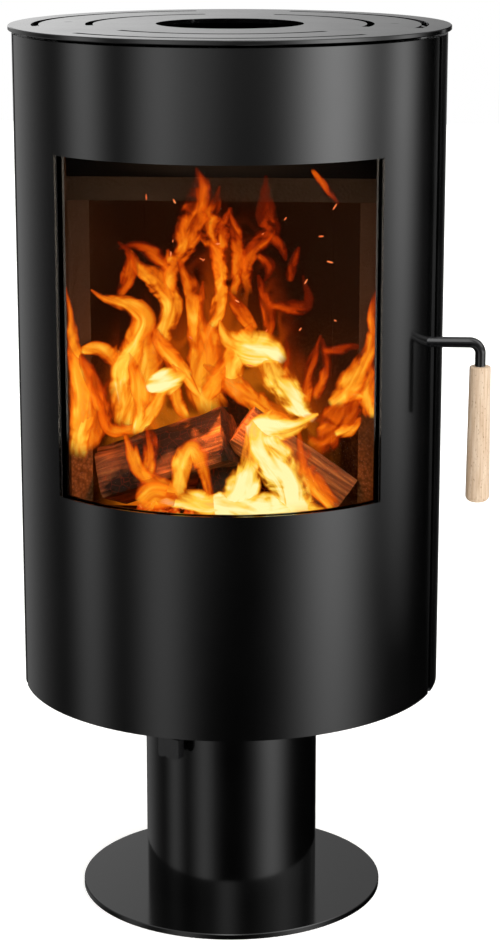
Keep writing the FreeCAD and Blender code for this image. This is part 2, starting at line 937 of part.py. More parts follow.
def make_log_guard():
    """Curved fence with upright slots that keeps logs off the glass."""
    body = new_body("log_guard")
    face_azimuth(body, zero)
    high = hearth_top + size.guard_height
    inner = guard_radius - size.guard_gauge
    turned(body, rectangle(inner, hearth_top, guard_radius, high), 2 * size.guard_half_angle)
    slot = rectangle(
        inner - size.overrun,
        hearth_top + size.guard_slot_margin,
        guard_radius + size.overrun,
        high - size.guard_slot_margin,
    )
    spread = size.guard_half_angle - size.guard_slot_angle
    cut = turned(body, slot, size.guard_slot_angle, azimuth=-spread, cut=True)
    repeat_round(body, [cut], GUARD_SLOTS, 2 * spread)


def make_baffle():
    """Fire board that lies on the lining and leaves the smoke a way up at the front."""
    body = new_body("baffle")
    face_azimuth(body, zero)
    edge = chord_reach(lining_outer, size.baffle_front)
    sketch = new_sketch(body, "XY_Plane", lift=lining_top)
    side = -lining_outer * cosine(frame_half_angle / 2)
    reach = lining_outer * sine(frame_half_angle / 2)
    points = [(size.baffle_front, -edge), (size.baffle_front, edge), (side, reach), (side, -reach)]
    outline(sketch, points, {edge: (lining_outer, 1) for edge in (1, 2, 3)})
    pad(body, sketch, size.baffle_gauge)


def make_airwash_strip():
    """Angle strip under the crown that leaves a slot for air down the inside of the glass."""
    body = new_body("airwash_strip")
    face_azimuth(body, zero)
    low = crown_height - size.wash_height
    back = shell_outer - size.wash_depth
    profile = [
        (back, low),
        (shell_outer - size.wash_slot, low),
        (shell_outer - size.wash_slot, low + size.wash_gauge),
        (back + size.wash_gauge, low + size.wash_gauge),
        (back + size.wash_gauge, crown_height),
        (back, crown_height),
    ]
    turned(body, profile, 2 * size.wash_half_angle)


def cut_collar_bolts(body):
    sketch = new_sketch(body, "XY_Plane", turn=as_size(QUARTER_TURN / 2))
    circle(sketch, flange_middle, zero, size.collar_bolt_radius)
    repeat_round(body, [cut_through(body, sketch)], COLLAR_BOLTS)


def make_firebox_crown():
    """Lid of the firebox; its hole is smaller than the collar's, so that the flue pipe stops on it."""
    body = new_body("firebox_crown")
    sketch = new_sketch(body, "XY_Plane", lift=crown_height)
    circle(sketch, zero, zero, frame_outer)
    circle(sketch, zero, zero, size.flue_radius - size.flue_ledge)
    pad(body, sketch, size.crown_gauge)
    cut_collar_bolts(body)


def make_flue_collar():
    """Flanged socket that takes the flue pipe."""
    body = new_body("flue_collar")
    flange_top = crown_top + size.collar_flange_gauge
    profile = [
        (size.flue_radius, crown_top),
        (flange_outer, crown_top),
        (flange_outer, flange_top),
        (collar_outer, flange_top),
        (collar_outer, crown_top + size.collar_height),
        (size.flue_radius, crown_top + size.collar_height),
    ]
    turned(body, profile)
    cut_collar_bolts(body)


def make_collar_bolts():
    body = new_body("collar_bolts")
    screw = cap_screw(
        flange_middle,
        crown_top + size.collar_flange_gauge,
        -1,
        size.collar_bolt_head,
        size.collar_bolt_rise,
        size.collar_bolt_radius,
        size.collar_flange_gauge + size.crown_gauge,
    )
    first = as_size(QUARTER_TURN / 2)
    feature = turned_about(body, screw, *vertical(flange_middle), azimuth=first)
    repeat_round(body, [feature], COLLAR_BOLTS)


# Ash pan
def make_ash_pan():
    """Open tray with a folded pull along the top of its front."""
    body = new_body("ash_pan")
    face_azimuth(body, zero)
    wall = size.pan_gauge
    outer = rectangle(-pan_back, -pan_half_width, pan_front, pan_half_width)
    inner = rectangle(
        wall - pan_back, wall - pan_half_width, pan_front - wall, pan_half_width - wall
    )
    sketch = new_sketch(body, "XY_Plane", lift=pan_low)
    outline(sketch, outer)
    pad(body, sketch, pan_height)
    hollow = new_sketch(body, "XY_Plane", lift=pan_low + wall)
    outline(hollow, inner)
    cut_deep(body, hollow, pan_height, reverse=True)
    top = pan_low + pan_height
    reach = pan_front + size.pan_lip_reach
    lip = [
        (pan_front, top - wall),
        (reach - wall, top - wall),
        (reach - wall, top - size.pan_lip_drop),
        (reach, top - size.pan_lip_drop),
        (reach, top),
        (pan_front, top),
    ]
    fold = new_sketch(body, "XZ_Plane")
    outline(fold, lip)
    pad(body, fold, 2 * size.pan_lip_half_width, symmetric=True)


def make_pan_runners():
    """Pair of angle rails on the drum floor that the pan slides on."""
    body = new_body("pan_runners")
    face_azimuth(body, zero)
    high = pan_low - size.running_gap
    for side in (1, -1):
        near = side * (runner_half_span - size.runner_width)
        far = side * runner_half_span
        points = [
            (near, floor_top),
            (near + side * size.runner_gauge, floor_top),
            (near + side * size.runner_gauge, high - size.runner_gauge),
            (far, high - size.runner_gauge),
            (far, high),
            (near, high),
        ]
        sketch = new_sketch(body, "YZ_Plane", lift=-pan_back)
        outline(sketch, points)
        pad(body, sketch, pan_back + pan_front - size.pan_lip_reach)


# Casing
def make_rear_casing():
    """Rolled sheet round the back, with a top flange and folded front edges."""
    body = new_body("rear_casing")
    face_azimuth(body, as_size(HALF_TURN))
    flange = size.drum_radius - size.casing_flange
    under_flange = drum_top - size.casing_gauge
    profile = [
        (casing_inner, size.drum_bottom),
        (size.drum_radius, size.drum_bottom),
        (size.drum_radius, drum_top),
        (flange, drum_top),
        (flange, under_flange),
        (casing_inner, under_flange),
    ]
    turned(body, profile, 2 * casing_half_angle)
    lip_angle = arc_angle(size.casing_gauge, size.drum_radius)
    lip = rectangle(size.drum_radius - size.casing_lip, size.drum_bottom, casing_inner, under_flange)
    for side in (1, -1):
        turned(body, lip, lip_angle, azimuth=side * (casing_half_angle - lip_angle / 2))
    for height in (spacer_low, spacer_high):
        sketch = new_sketch(body, "YZ_Plane", turn=-size.spacer_half_spread)
        circle(sketch, zero, height, size.casing_screw_radius)
        hole = cut_through(body, sketch)
        repeat_round(body, [hole], SPACERS_PER_RING, 2 * size.spacer_half_spread)


def make_casing_spacers():
    """Tubes that hold the casing off the firebox."""
    body = new_body("casing_spacers")
    face_azimuth(body, as_size(HALF_TURN))
    outer_end = casing_inner - size.running_gap
    for height in (spacer_low, spacer_high):
        wall = rectangle(
            shell_outer, height + size.casing_screw_radius, outer_end, height + size.spacer_radius
        )
        axis = (shell_outer, height), (outer_end, height)
        tube = turned_about(body, wall, *axis, azimuth=-size.spacer_half_spread)
        repeat_round(body, [tube], SPACERS_PER_RING, 2 * size.spacer_half_spread)


def make_casing_screws():
    """Button-head screws through the casing into the spacers."""
    body = new_body("casing_screws")
    face_azimuth(body, as_size(HALF_TURN))
    face = size.drum_radius + size.running_gap
    for height in (spacer_low, spacer_high):
        shank = height + size.casing_screw_radius
        head = height + size.casing_screw_head
        profile = [
            (shell_outer, height),
            (face + size.casing_screw_rise, height),
            (face, head),
            (face, shank),
            (shell_outer, shank),
        ]
        feature = turned_about(
            body,
            profile,
            (shell_outer, height),
            (face, height),
            arcs={1: (size.casing_screw_dome, 1)},
            azimuth=-size.spacer_half_spread,
        )
        repeat_round(body, [feature], SPACERS_PER_RING, 2 * size.spacer_half_spread)


# Top
def top_screw(shank, length):
    return countersunk(
        top_screw_place, size.stove_height, -1, size.top_screw_head, size.top_screw_cone, shank, length
    )


def make_top_plate():
    """Round plate with a flue hole, two rings of three arc slots and two screw holes."""
    body = new_body("top_plate")
    face_azimuth(body, zero)
    edge = size.top_plate_edge
    profile = [
        (size.top_hole_radius, plate_low),
        (top_plate_radius - edge, plate_low),
        (top_plate_radius, plate_low + edge),
        (top_plate_radius, size.stove_height - edge),
        (top_plate_radius - edge, size.stove_height),
        (size.top_hole_radius, size.stove_height),
    ]
    turned(body, profile)
    half = size.slot_width / 2
    low = plate_low - size.overrun
    high = size.stove_height + size.overrun
    for radius in (size.inner_slot_radius, outer_slot_radius):
        slot = turned(body, rectangle(radius - half, low, radius + half, high), size.slot_angle, cut=True)
        repeat_round(body, [slot], SLOTS_PER_RING)
    hole = top_screw(size.top_screw_radius + size.pin_clearance, size.top_plate_gauge + size.overrun)
    for side in (1, -1):
        azimuth = side * size.top_screw_azimuth
        turned_about(body, hole, *vertical(top_screw_place), azimuth=azimuth, cut=True)


def make_top_gussets():
    """Upright plates on the crown that carry the top plate under its bridges."""
    body = new_body("top_gussets")
    face_azimuth(body, as_size(HALF_TURN))
    inner = flange_outer + size.overrun
    foot_top = crown_top + size.gusset_foot_height
    points = [
        (inner, crown_top),
        (gusset_foot, crown_top),
        (gusset_foot, foot_top),
        (gusset_reach, plate_low - size.gusset_gauge),
        (gusset_reach, plate_low),
        (inner, plate_low),
    ]
    sketch = new_sketch(body, "XZ_Plane")
    outline(sketch, points)
    middle = (inner + gusset_foot) / 2
    circle(sketch, middle, (crown_top + plate_low) / 2, size.gusset_hole_radius)
    plate = pad(body, sketch, size.gusset_gauge, symmetric=True)
    repeat_round(body, [plate], GUSSETS)


def make_top_standoffs():
    """Tapped pillars under the two top screws."""
    body = new_body("top_standoffs")
    face_azimuth(body, zero)
    x = top_screw_place
    bore = x + size.top_screw_radius
    bore_low = plate_low - size.standoff_bore
    profile = [
        (x, crown_top),
        (x + size.standoff_radius, crown_top),
        (x + size.standoff_radius, plate_low),
        (bore, plate_low),
        (bore, bore_low),
        (x, bore_low),
    ]
    for side in (1, -1):
        turned_about(body, profile, *vertical(x), azimuth=side * size.top_screw_azimuth)


def make_top_screws():
    body = new_body("top_screws")
    face_azimuth(body, zero)
    screw = top_screw(size.top_screw_radius, size.top_plate_gauge + size.standoff_bore)
    for side in (1, -1):
        azimuth = side * size.top_screw_azimuth
        turned_about(body, screw, *vertical(top_screw_place), azimuth=azimuth)


# Door
def make_door_shell():
    """Rolled front of the drum with top and bottom flanges, a latch lip and the window."""
    body = new_body("door_shell")
    face_azimuth(body, zero)
    flange = size.drum_radius - size.door_flange
    over_bottom = size.drum_bottom + size.door_gauge
    under_top = drum_top - size.door_gauge
    profile = [
        (size.drum_radius, size.drum_bottom),
        (size.drum_radius, drum_top),
        (flange, drum_top),
        (flange, under_top),
        (door_inner, under_top),
        (door_inner, over_bottom),
        (flange, over_bottom),
        (flange, size.drum_bottom),
    ]
    turned(body, profile, 2 * size.door_half_angle)
    lip_angle = arc_angle(size.door_gauge, size.drum_radius)
    lip = rectangle(size.drum_radius - size.door_lip, over_bottom, door_inner, under_top)
    turned(body, lip, lip_angle, azimuth=size.door_half_angle - lip_angle / 2)
    window = rectangle(
        door_inner - size.overrun, window_low, size.drum_radius + size.overrun, window_high
    )
    turned(body, window, 2 * size.window_half_angle, cut=True)
    sketch = new_sketch(body, "XZ_Plane")
    circle(sketch, handle_setback, size.handle_height, size.rod_radius + size.running_gap)
    cut_deep(body, sketch, size.drum_radius + size.overrun)


def make_door_liner():
    """Shallow pan behind the shell that stiffens the door and carries its seal."""
    body = new_body("door_liner")
    face_azimuth(body, zero)
    wall = size.liner_gauge
    profile = [
        (liner_inner, liner_low),
        (door_inner, liner_low),
        (door_inner, liner_low + wall),
        (liner_outer, liner_low + wall),
        (liner_outer, liner_high - wall),
        (door_inner, liner_high - wall),
        (door_inner, liner_high),
        (liner_inner, liner_high),
    ]
    turned(body, profile, 2 * liner_half_angle)
    side_angle = arc_angle(wall, door_inner)
    side_wall = rectangle(liner_outer, liner_low + wall, door_inner, liner_high - wall)
    for side in (1, -1):
        turned(body, side_wall, side_angle, azimuth=side * (liner_half_angle - side_angle / 2))
    sight = rectangle(
        liner_inner - size.overrun,
        window_low - size.sight_margin,
        liner_outer + size.overrun / 2,
        window_high + size.sight_margin,
    )
    turned(body, sight, 2 * size.sight_half_angle, cut=True)


glass_low = window_low - size.glass_overlap
glass_high = window_high + size.glass_overlap
glass_half_angle = size.window_half_angle + arc_angle(size.glass_overlap, glass_outer)


def make_door_glass():
    body = new_body("door_glass")
    face_azimuth(body, zero)
    turned(body, rectangle(glass_inner, glass_low, glass_outer, glass_high), 2 * glass_half_angle)


def make_glass_seal():
    """Flat tape between the glass and the shell, round the window."""
    body = new_body("glass_seal")
    face_azimuth(body, zero)
    turned(body, rectangle(glass_outer, glass_low, door_inner, glass_high), 2 * glass_half_angle)
    margin = size.glass_seal_margin
    opening = rectangle(
        glass_outer - size.overrun,
        window_low - margin,
        door_inner + size.overrun,
        window_high + margin,
    )
    turned(body, opening, 2 * (size.window_half_angle + arc_angle(margin, glass_outer)), cut=True)


def make_glass_clips():
    """Angle clips on the shell that hold the glass along its top and bottom edges."""
    body = new_body("glass_clips")
    face_azimuth(body, zero)
    inner = glass_inner - size.clip_gauge
    for edge, out in ((glass_high, 1), (glass_low, -1)):
        near = edge + out * size.running_gap
        far = near + out * size.clip_foot
        tongue = edge - out * size.clip_hold
        points = [
            (inner, tongue),
            (glass_inner, tongue),
            (glass_inner, near),
            (door_inner, near),
            (door_inner, far),
            (inner, far),
        ]
        clip = turned(body, points, size.clip_angle, azimuth=-size.clip_spread)
        repeat_round(body, [clip], CLIPS_PER_EDGE, 2 * size.clip_spread)


def make_door_seal():
    """Rope seal on the liner that meets the front frame, with rounded edges towards it."""
    body = new_body("door_seal")
    face_azimuth(body, zero)
    half = size.seal_width / 2
    face = frame_outer + size.running_gap
    low = (liner_low + sill_top) / 2
    high = crown_height - size.lintel_height / 2
    half_angle = arc_angle(half, frame_outer)
    turned(body, rectangle(face, low - half, liner_inner, high + half), 2 * (post_azimuth + half_angle))
    inside = rectangle(face - size.overrun, low + half, liner_inner + size.overrun, high - half)
    turned(body, inside, 2 * (post_azimuth - half_angle), cut=True)

    def towards_frame(edge):
        return all(abs(math.hypot(v.X, v.Y) - face.value) < size.running_gap.value for v in edge.Vertexes)

    round_edges(body, size.seal_round, towards_frame)


def make_hinge_lugs():
    """Plates between the liner's side and the shell, bored for the hinge pins."""
    body = new_body("hinge_lugs")
    face_azimuth(body, hinge_azimuth)
    near = hinge_azimuth + liner_half_angle
    far = hinge_azimuth + size.door_half_angle - arc_angle(size.lug_margin, hinge_radius)
    for bracket in (lower_bracket, upper_bracket):
        low = bracket + lug_rise
        profile = rectangle(liner_inner, low, door_inner, low + size.lug_gauge)
        turned(body, profile, far - near, azimuth=-(near + far) / 2)
    sketch = new_sketch(body, "XY_Plane")
    circle(sketch, hinge_radius, zero, size.hinge_pin_radius + size.pin_clearance)
    cut_through(body, sketch)


def make_handle_bush():
    """Sleeve inside the door that guides the handle rod, shaped to the shell."""
    body = new_body("handle_bush")
    low = hook_outside + size.running_gap
    sketch = new_sketch(body, "YZ_Plane", lift=low)
    circle(sketch, handle_y, size.handle_height, size.bush_radius)
    circle(sketch, handle_y, size.handle_height, size.rod_radius + size.pin_clearance)
    pad(body, sketch, size.drum_radius - low)
    outside = rectangle(
        door_inner,
        size.handle_height - 2 * size.bush_radius,
        size.drum_radius + size.drum_radius,
        size.handle_height + 2 * size.bush_radius,
    )
    turned(body, outside, cut=True)


# Hinges
def make_hinge_bracket(label, low, foot):
    """Arm from the frame to the pin; the foot lies on the crown, or the arm ends at the frame."""
    body = new_body(label)
    arm_turn = hinge_azimuth + QUARTER_TURN - size.hinge_arm_angle
    place(body, hinge_x, hinge_y, low, turn=arm_turn)
    reach = size.bracket_neck + size.bracket_foot
    eye = size.hinge_eye_radius
    sketch = new_sketch(body, "XY_Plane")
    outline(sketch, rectangle(zero, -eye, reach, eye))
    pad(body, sketch, size.bracket_gauge)
    sketch = new_sketch(body, "XY_Plane")
    circle(sketch, zero, zero, eye)
    pad(body, sketch, size.bracket_gauge)
    if foot:
        half = size.bracket_foot_half_width
        sketch = new_sketch(body, "XY_Plane")
        outline(sketch, rectangle(size.bracket_neck, -half, reach, half))
        pad(body, sketch, size.bracket_gauge)
        sketch = new_sketch(body, "XY_Plane")
        for side in (1, -1):
            circle(sketch, *bracket_screw_place(side), size.bracket_screw_radius)
        cut_through(body, sketch)
    else:
        centre_x = hinge_radius * cosine(size.hinge_arm_angle)
        centre_y = hinge_radius * sine(size.hinge_arm_angle)
        sketch = new_sketch(body, "XY_Plane")
        circle(sketch, centre_x, centre_y, frame_outer)
        cut_through(body, sketch)
    sketch = new_sketch(body, "XY_Plane")
    circle(sketch, zero, zero, size.hinge_pin_radius)
    cut_through(body, sketch)


def bracket_screw_place(side):
    """Place of a bracket screw, along and across the arm from the hinge pin."""
    return size.bracket_neck + size.bracket_foot / 2, side * size.bracket_screw_half_pitch


def make_bracket_screws():
    body = new_body("bracket_screws")
    arm_turn = hinge_azimuth + QUARTER_TURN - size.hinge_arm_angle
    place(body, hinge_x, hinge_y, upper_bracket, turn=arm_turn)
    for side in (1, -1):
        for radius, low, length in (
            (size.bracket_screw_radius, zero, size.bracket_gauge),
            (size.bracket_screw_head, size.bracket_gauge, size.bracket_screw_rise),
        ):
            sketch = new_sketch(body, "XY_Plane", lift=low)
            circle(sketch, *bracket_screw_place(side), radius)
            pad(body, sketch, length)


def make_hinge_pins():
    body = new_body("hinge_pins")
    place(body, hinge_x, hinge_y, zero)
    radius = size.hinge_pin_radius
    for low in (lower_bracket, upper_bracket):
        high = low + lug_rise + size.lug_gauge
        points = [
            (zero, low),
            (radius, low),
            (radius, high),
            (radius - size.hinge_pin_tip / 2, high + size.hinge_pin_tip),
            (zero, high + size.hinge_pin_tip),
        ]
        turned(body, points)


def make_hinge_washers():
    body = new_body("hinge_washers")
    place(body, hinge_x, hinge_y, zero)
    for bracket in (lower_bracket, upper_bracket):
        low = bracket + size.bracket_gauge
        turned(
            body,
            rectangle(
                size.hinge_pin_radius + size.pin_clearance,
                low,
                size.hinge_eye_radius,
                low + size.washer_gauge,
            ),
        )


# Handle
def make_handle_rod():
    """Bent rod: a spigot for the hook, a straight run through the door and a leg into the grip."""
    body = new_body("handle_rod")
    place(body, zero, handle_y, zero)
    leg_end = grip_top - size.grip_bore_depth
    bend_start = handle_reach - size.rod_bend
    bend_end = size.handle_height - size.rod_bend
    run_start = (hook_outside, size.handle_height)
    run_end = (bend_start, size.handle_height)
    leg_start = (handle_reach, bend_end)
    leg_tip = (handle_reach, leg_end)
    path = new_sketch(body, "XZ_Plane")
    run = path.addGeometry(Part.LineSegment(flat(run_start), flat(run_end)), False)
    curve = minor_arc(flat(run_end), flat(leg_start), size.rod_bend.value, -1)
    bend = path.addGeometry(curve, False)
    leg = path.addGeometry(Part.LineSegment(flat(leg_start), flat(leg_tip)), False)
    path.addConstraint(Sketcher.Constraint("Coincident", run, 2, bend, 2))
    path.addConstraint(Sketcher.Constraint("Coincident", bend, 1, leg, 1))
    hold(path, run, 1, run_start)
    hold(path, run, 2, run_end)
    hold(path, leg, 1, leg_start)
    hold(path, leg, 2, leg_tip)
    constrain(path, "Radius", (bend,), size.rod_bend)
    section = new_sketch(body, "YZ_Plane", lift=hook_outside)
    circle(section, zero, size.handle_height, size.rod_radius)
    pipe = body.newObject("PartDesign::AdditivePipe", "Bend")
    pipe.Profile = section
    pipe.Spine = path
    spigot = new_sketch(body, "YZ_Plane", lift=hook_place - size.nut_gauge)
    circle(spigot, zero, size.handle_height, size.spigot_radius)
    pad(body, spigot, size.nut_gauge + size.hook_gauge)


def make_handle_grip():
    """Turned wooden grip, thicker towards its round lower end."""
    body = new_body("handle_grip")
    place(body, handle_reach, handle_y, zero)
    slim = size.grip_top_radius
    thick = size.grip_bottom_radius
    edge = size.grip_edge_round
    end = size.grip_end_round
    bore_low = grip_top - size.grip_bore_depth
    points = [
        (zero, grip_bottom),
        (thick - end, grip_bottom),
        (thick, grip_bottom + end),
        (slim, grip_top - edge),
        (slim - edge, grip_top),
        (size.rod_radius, grip_top),
        (size.rod_radius, bore_low),
        (zero, bore_low),
    ]
    turned(body, points, arcs={1: (end, 1), 3: (edge, 1)})


def make_latch_hook():
    """Hook plate on the rod: its slot runs round the rod's axis and holds the keeper roller."""
    body = new_body("latch_hook")
    lay_along_x(body, hook_place, handle_y, size.handle_height)
    room = size.roller_radius + size.hook_slot_room
    slot_inner = size.keeper_distance - room
    slot_outer = size.keeper_distance + room
    tip = slot_outer + size.hook_tip
    turned(body, rectangle(size.spigot_radius, zero, size.hook_hub_radius, size.hook_gauge))
    waist = (size.spigot_radius + size.hook_hub_radius) / 2
    sweep = size.hook_low_angle + size.hook_high_angle
    middle = (size.hook_high_angle - size.hook_low_angle) / 2
    turned(body, rectangle(waist, zero, tip, size.hook_gauge), sweep, azimuth=middle)
    closed = arc_angle(room, size.keeper_distance)
    opened = size.hook_high_angle + closed
    slot = rectangle(slot_inner, -size.overrun, slot_outer, size.hook_gauge + size.overrun)
    turned(body, slot, opened + closed, azimuth=(opened - closed) / 2, cut=True)


def make_hook_nut():
    body = new_body("hook_nut")
    lay_along_x(body, hook_place - size.nut_gauge, handle_y, size.handle_height)
    sketch = new_sketch(body, "XY_Plane")
    corners = [as_size(FULL_TURN / NUT_SIDES * n) for n in range(NUT_SIDES)]
    outline(sketch, [(size.nut_radius * cosine(a), size.nut_radius * sine(a)) for a in corners])
    circle(sketch, zero, zero, size.spigot_radius)
    pad(body, sketch, size.nut_gauge)


# Keeper
def make_keeper_block():
    """Block welded to the firebox shell that carries the keeper pin."""
    body = new_body("keeper_block")
    half = size.keeper_block_half_width
    low = size.handle_height - size.keeper_block_half_height
    high = size.handle_height + size.keeper_block_half_height
    start = shell_inner - 2 * size.overrun
    sketch = new_sketch(body, "YZ_Plane", lift=start)
    outline(sketch, rectangle(keeper_y - half, low, keeper_y + half, high))
    circle(sketch, keeper_y, size.handle_height, size.keeper_pin_radius)
    pad(body, sketch, keeper_block_face - start)
    inside = rectangle(zero, low - size.overrun, shell_outer, high + size.overrun)
    turned(body, inside, cut=True)


def make_keeper_pin():
    """Headed pin across the latch; its inner end stops at the shell."""
    body = new_body("keeper_pin")
    start = chord_reach(shell_outer, keeper_y + size.keeper_pin_radius) + size.running_gap
    lay_along_x(body, start, keeper_y, size.handle_height)
    neck = roller_high + size.running_gap - start
    head = neck + size.keeper_pin_rise
    points = [
        (zero, zero),
        (size.keeper_pin_radius, zero),
        (size.keeper_pin_radius, neck),
        (size.keeper_pin_head, neck),
        (size.keeper_pin_head, head),
        (zero, head),
    ]
    turned(body, points)


def make_keeper_roller():
    body = new_body("keeper_roller")
    lay_along_x(body, roller_low, keeper_y, size.handle_height)
    bore = size.keeper_pin_radius + size.pin_clearance
    turned(body, rectangle(bore, zero, size.roller_radius, roller_high - roller_low))


# The whole stove
make_base_plate()
make_pedestal_column()
make_column_foot_ring()
make_foot_screws()
make_column_head_ring()
make_head_bolts()
make_air_inlet_collar()
make_drum_floor()
make_air_shutter()
make_air_lever()
make_lever_grip()
make_shutter_pivot()
make_firebox_shell()
make_post("hinge_post", -1)
make_post("latch_post", 1)
make_frame_bar("frame_sill", floor_top, sill_top)
make_frame_bar("frame_lintel", crown_height - size.lintel_height, crown_height)
make_hearth_plate()
make_grate()
make_hearth_brick("hearth_brick_right", 1)
make_hearth_brick("hearth_brick_left", -1)
for number, name in enumerate(LINING_PANELS):
    make_lining(name, number)
make_log_guard()
make_baffle()
make_airwash_strip()
make_firebox_crown()
make_flue_collar()
make_collar_bolts()
make_ash_pan()
make_pan_runners()
make_rear_casing()
make_casing_spacers()
make_casing_screws()
make_top_plate()
make_top_gussets()
make_top_standoffs()
make_top_screws()
make_door_shell()
make_door_liner()
make_door_glass()
make_glass_seal()
make_glass_clips()
make_door_seal()
make_hinge_lugs()
make_handle_bush()
make_hinge_bracket("hinge_bracket_lower", lower_bracket, foot=False)
make_hinge_bracket("hinge_bracket_upper", upper_bracket, foot=True)
make_bracket_screws()
make_hinge_pins()
make_hinge_washers()
make_handle_rod()
make_handle_grip()
make_latch_hook()
make_hook_nut()
make_keeper_block()
make_keeper_pin()
make_keeper_roller()
doc.recompute()

# Check every object, then write the parts
for item in doc.Objects:
    if any(word in state for state in item.State for word in ("Invalid", "Error")):
        raise RuntimeError(f"{item.Label} ({item.Name}) did not build: {item.State}")
bodies = [item for item in doc.Objects if item.TypeId == "PartDesign::Body"]
for body in bodies:
    if body.Shape.isNull() or not body.Shape.isValid():
        raise RuntimeError(f"{body.Label} has no valid shape")
for body in bodies:
    body.Shape.exportStep(f"parts/{body.Label}.step")
print(len(bodies), "parts written")
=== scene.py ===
# %% [markdown]
# # A drum-shaped wood stove, dressed for its portrait
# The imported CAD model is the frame: every sheet, screw and hinge already stands where it belongs.
# This lesson gives each piece its finish, lays a fire behind the glass, and lights the stove
# the way a catalogue studio would. Lengths are in metres, the door faces -Y and Z points up.

# %% Load the frame
import math

import bpy
import bmesh
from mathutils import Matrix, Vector, noise


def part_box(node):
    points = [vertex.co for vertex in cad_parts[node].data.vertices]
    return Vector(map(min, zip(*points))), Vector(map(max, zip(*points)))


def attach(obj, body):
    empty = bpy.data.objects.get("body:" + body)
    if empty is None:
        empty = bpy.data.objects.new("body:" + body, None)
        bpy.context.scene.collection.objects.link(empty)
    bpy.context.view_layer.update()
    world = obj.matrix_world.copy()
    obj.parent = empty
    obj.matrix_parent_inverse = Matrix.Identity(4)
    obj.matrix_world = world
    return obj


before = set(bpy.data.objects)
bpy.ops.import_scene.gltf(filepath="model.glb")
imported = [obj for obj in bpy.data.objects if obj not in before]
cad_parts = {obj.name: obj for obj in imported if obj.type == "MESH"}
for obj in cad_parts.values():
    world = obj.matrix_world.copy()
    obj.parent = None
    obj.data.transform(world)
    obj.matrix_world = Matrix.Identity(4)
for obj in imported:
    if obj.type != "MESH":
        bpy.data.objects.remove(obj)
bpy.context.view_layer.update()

MM = 0.001

# %% [markdown]
# ## Small helpers
# Colours are written as the hex values that a paint chart shows, and a shader needs them linear.
# One function adds any node with its settings and links, so that each finish reads as a recipe.
# Where a node feeds another, it stands for the first of its outputs that is in use.


# %% Helpers for colours and nodes
def linear(hex_colour):
    """An sRGB hex colour as the linear RGBA that shaders expect."""
    channels = [int(hex_colour[i:i + 2], 16) / 255 for i in (0, 2, 4)]
    curve = [c / 12.92 if c <= 0.04045 else ((c + 0.055) / 1.055) ** 2.4 for c in channels]
    return (*curve, 1.0)


def per(millimetres):
    """Texture scale whose features are about that many millimetres wide."""
    return 1 / (millimetres * MM)


def plug(tree, socket, value):
    """Gives a socket its value, or links what feeds it: a socket, or a node's first output in use."""
    if isinstance(value, bpy.types.Node):
        value = next(output for output in value.outputs if output.enabled)
    if isinstance(value, bpy.types.NodeSocket):
        tree.links.new(value, socket)
    else:
        socket.default_value = value


def add(tree, kind, inputs=None, stops=(), **settings):
    """Adds a node: settings are its options, inputs are values or what feeds it, stops are its colours."""
    item = tree.nodes.new(kind)
    for name, value in settings.items():
        setattr(item, name, value)
    for key, value in (inputs or {}).items():
        plug(tree, item.inputs[key], value)
    if stops:
        ramp = item.color_ramp.elements
        while len(ramp) < len(stops):
            ramp.new(1.0)
        for element, (position, hex_colour) in zip(ramp, stops):
            element.position = position
            element.color = linear(hex_colour)
    return item


# %% Helpers for finishes
NOISE_LOW, NOISE_HIGH = 0.3, 0.7  # nearly all of a noise lies between these


def new_finish(name):
    """An empty material with its shader and its Object coordinates."""
    finish = bpy.data.materials.new(name)
    finish.use_nodes = True
    tree = finish.node_tree
    shader = tree.nodes["Principled BSDF"]
    coords = add(tree, "ShaderNodeTexCoord").outputs["Object"]
    return finish, tree, shader, coords


def feed(tree, shader, **sockets):
    """Gives the shader's sockets their values or links; an underscore stands for a space."""
    for name, value in sockets.items():
        plug(tree, shader.inputs[name.replace("_", " ")], value)


# %% [markdown]
# ## Sprayed stove paint
# The drum, column and plates are steel sprayed with heat-proof silicone paint. It is nearly black,
# with a satin skin that draws soft vertical bands from the studio's lights. A fine orange peel and
# slow cloudy changes of gloss keep it from looking like plastic. Both could be painted on an unwrapped
# surface, but noise on Object coordinates needs no unwrapping and has the same size on every sheet.


# %% Heat-proof black paint
def make_stove_paint():
    finish, tree, shader, coords = new_finish("stove_paint_sprayed_satin_black")
    cloud = add(tree, "ShaderNodeTexNoise", {"Vector": coords, "Scale": per(70), "Detail": 3.0})
    peel = add(tree, "ShaderNodeTexNoise", {"Vector": coords, "Scale": per(1.6), "Detail": 2.0})
    tone = add(tree, "ShaderNodeMix", {0: cloud, 6: linear("020202"), 7: linear("040404")},
               data_type="RGBA")
    gloss = add(tree, "ShaderNodeMapRange", {
        "Value": cloud, "From Min": NOISE_LOW, "From Max": NOISE_HIGH, "To Min": 0.10, "To Max": 0.14,
    })
    skin = add(tree, "ShaderNodeBump", {"Height": peel, "Strength": 0.04, "Distance": 0.2 * MM})
    feed(tree, shader, Base_Color=tone, Roughness=gloss, Normal=skin)
    return finish


stove_paint = make_stove_paint()
print("made", stove_paint.name)

# %% [markdown]
# ## Metals
# Screws, pins and the latch are turned or pressed steel with faint machining marks. The handle rod and
# the air lever are blacked, and sheets round the fire are dull with soot. The grate and the log guard
# are sand castings, rough and dull. The hinge washers and the handle bush are brass, slightly
# browned by heat. Each could have a tree of its own, but they differ only in colour, gloss and grain,
# so one function makes them all. Real machining marks are too fine to show and are drawn coarser.

# %% Steel, cast iron and brass
SOOT_SHINE = 0.05  # soot swallows nearly all of a highlight


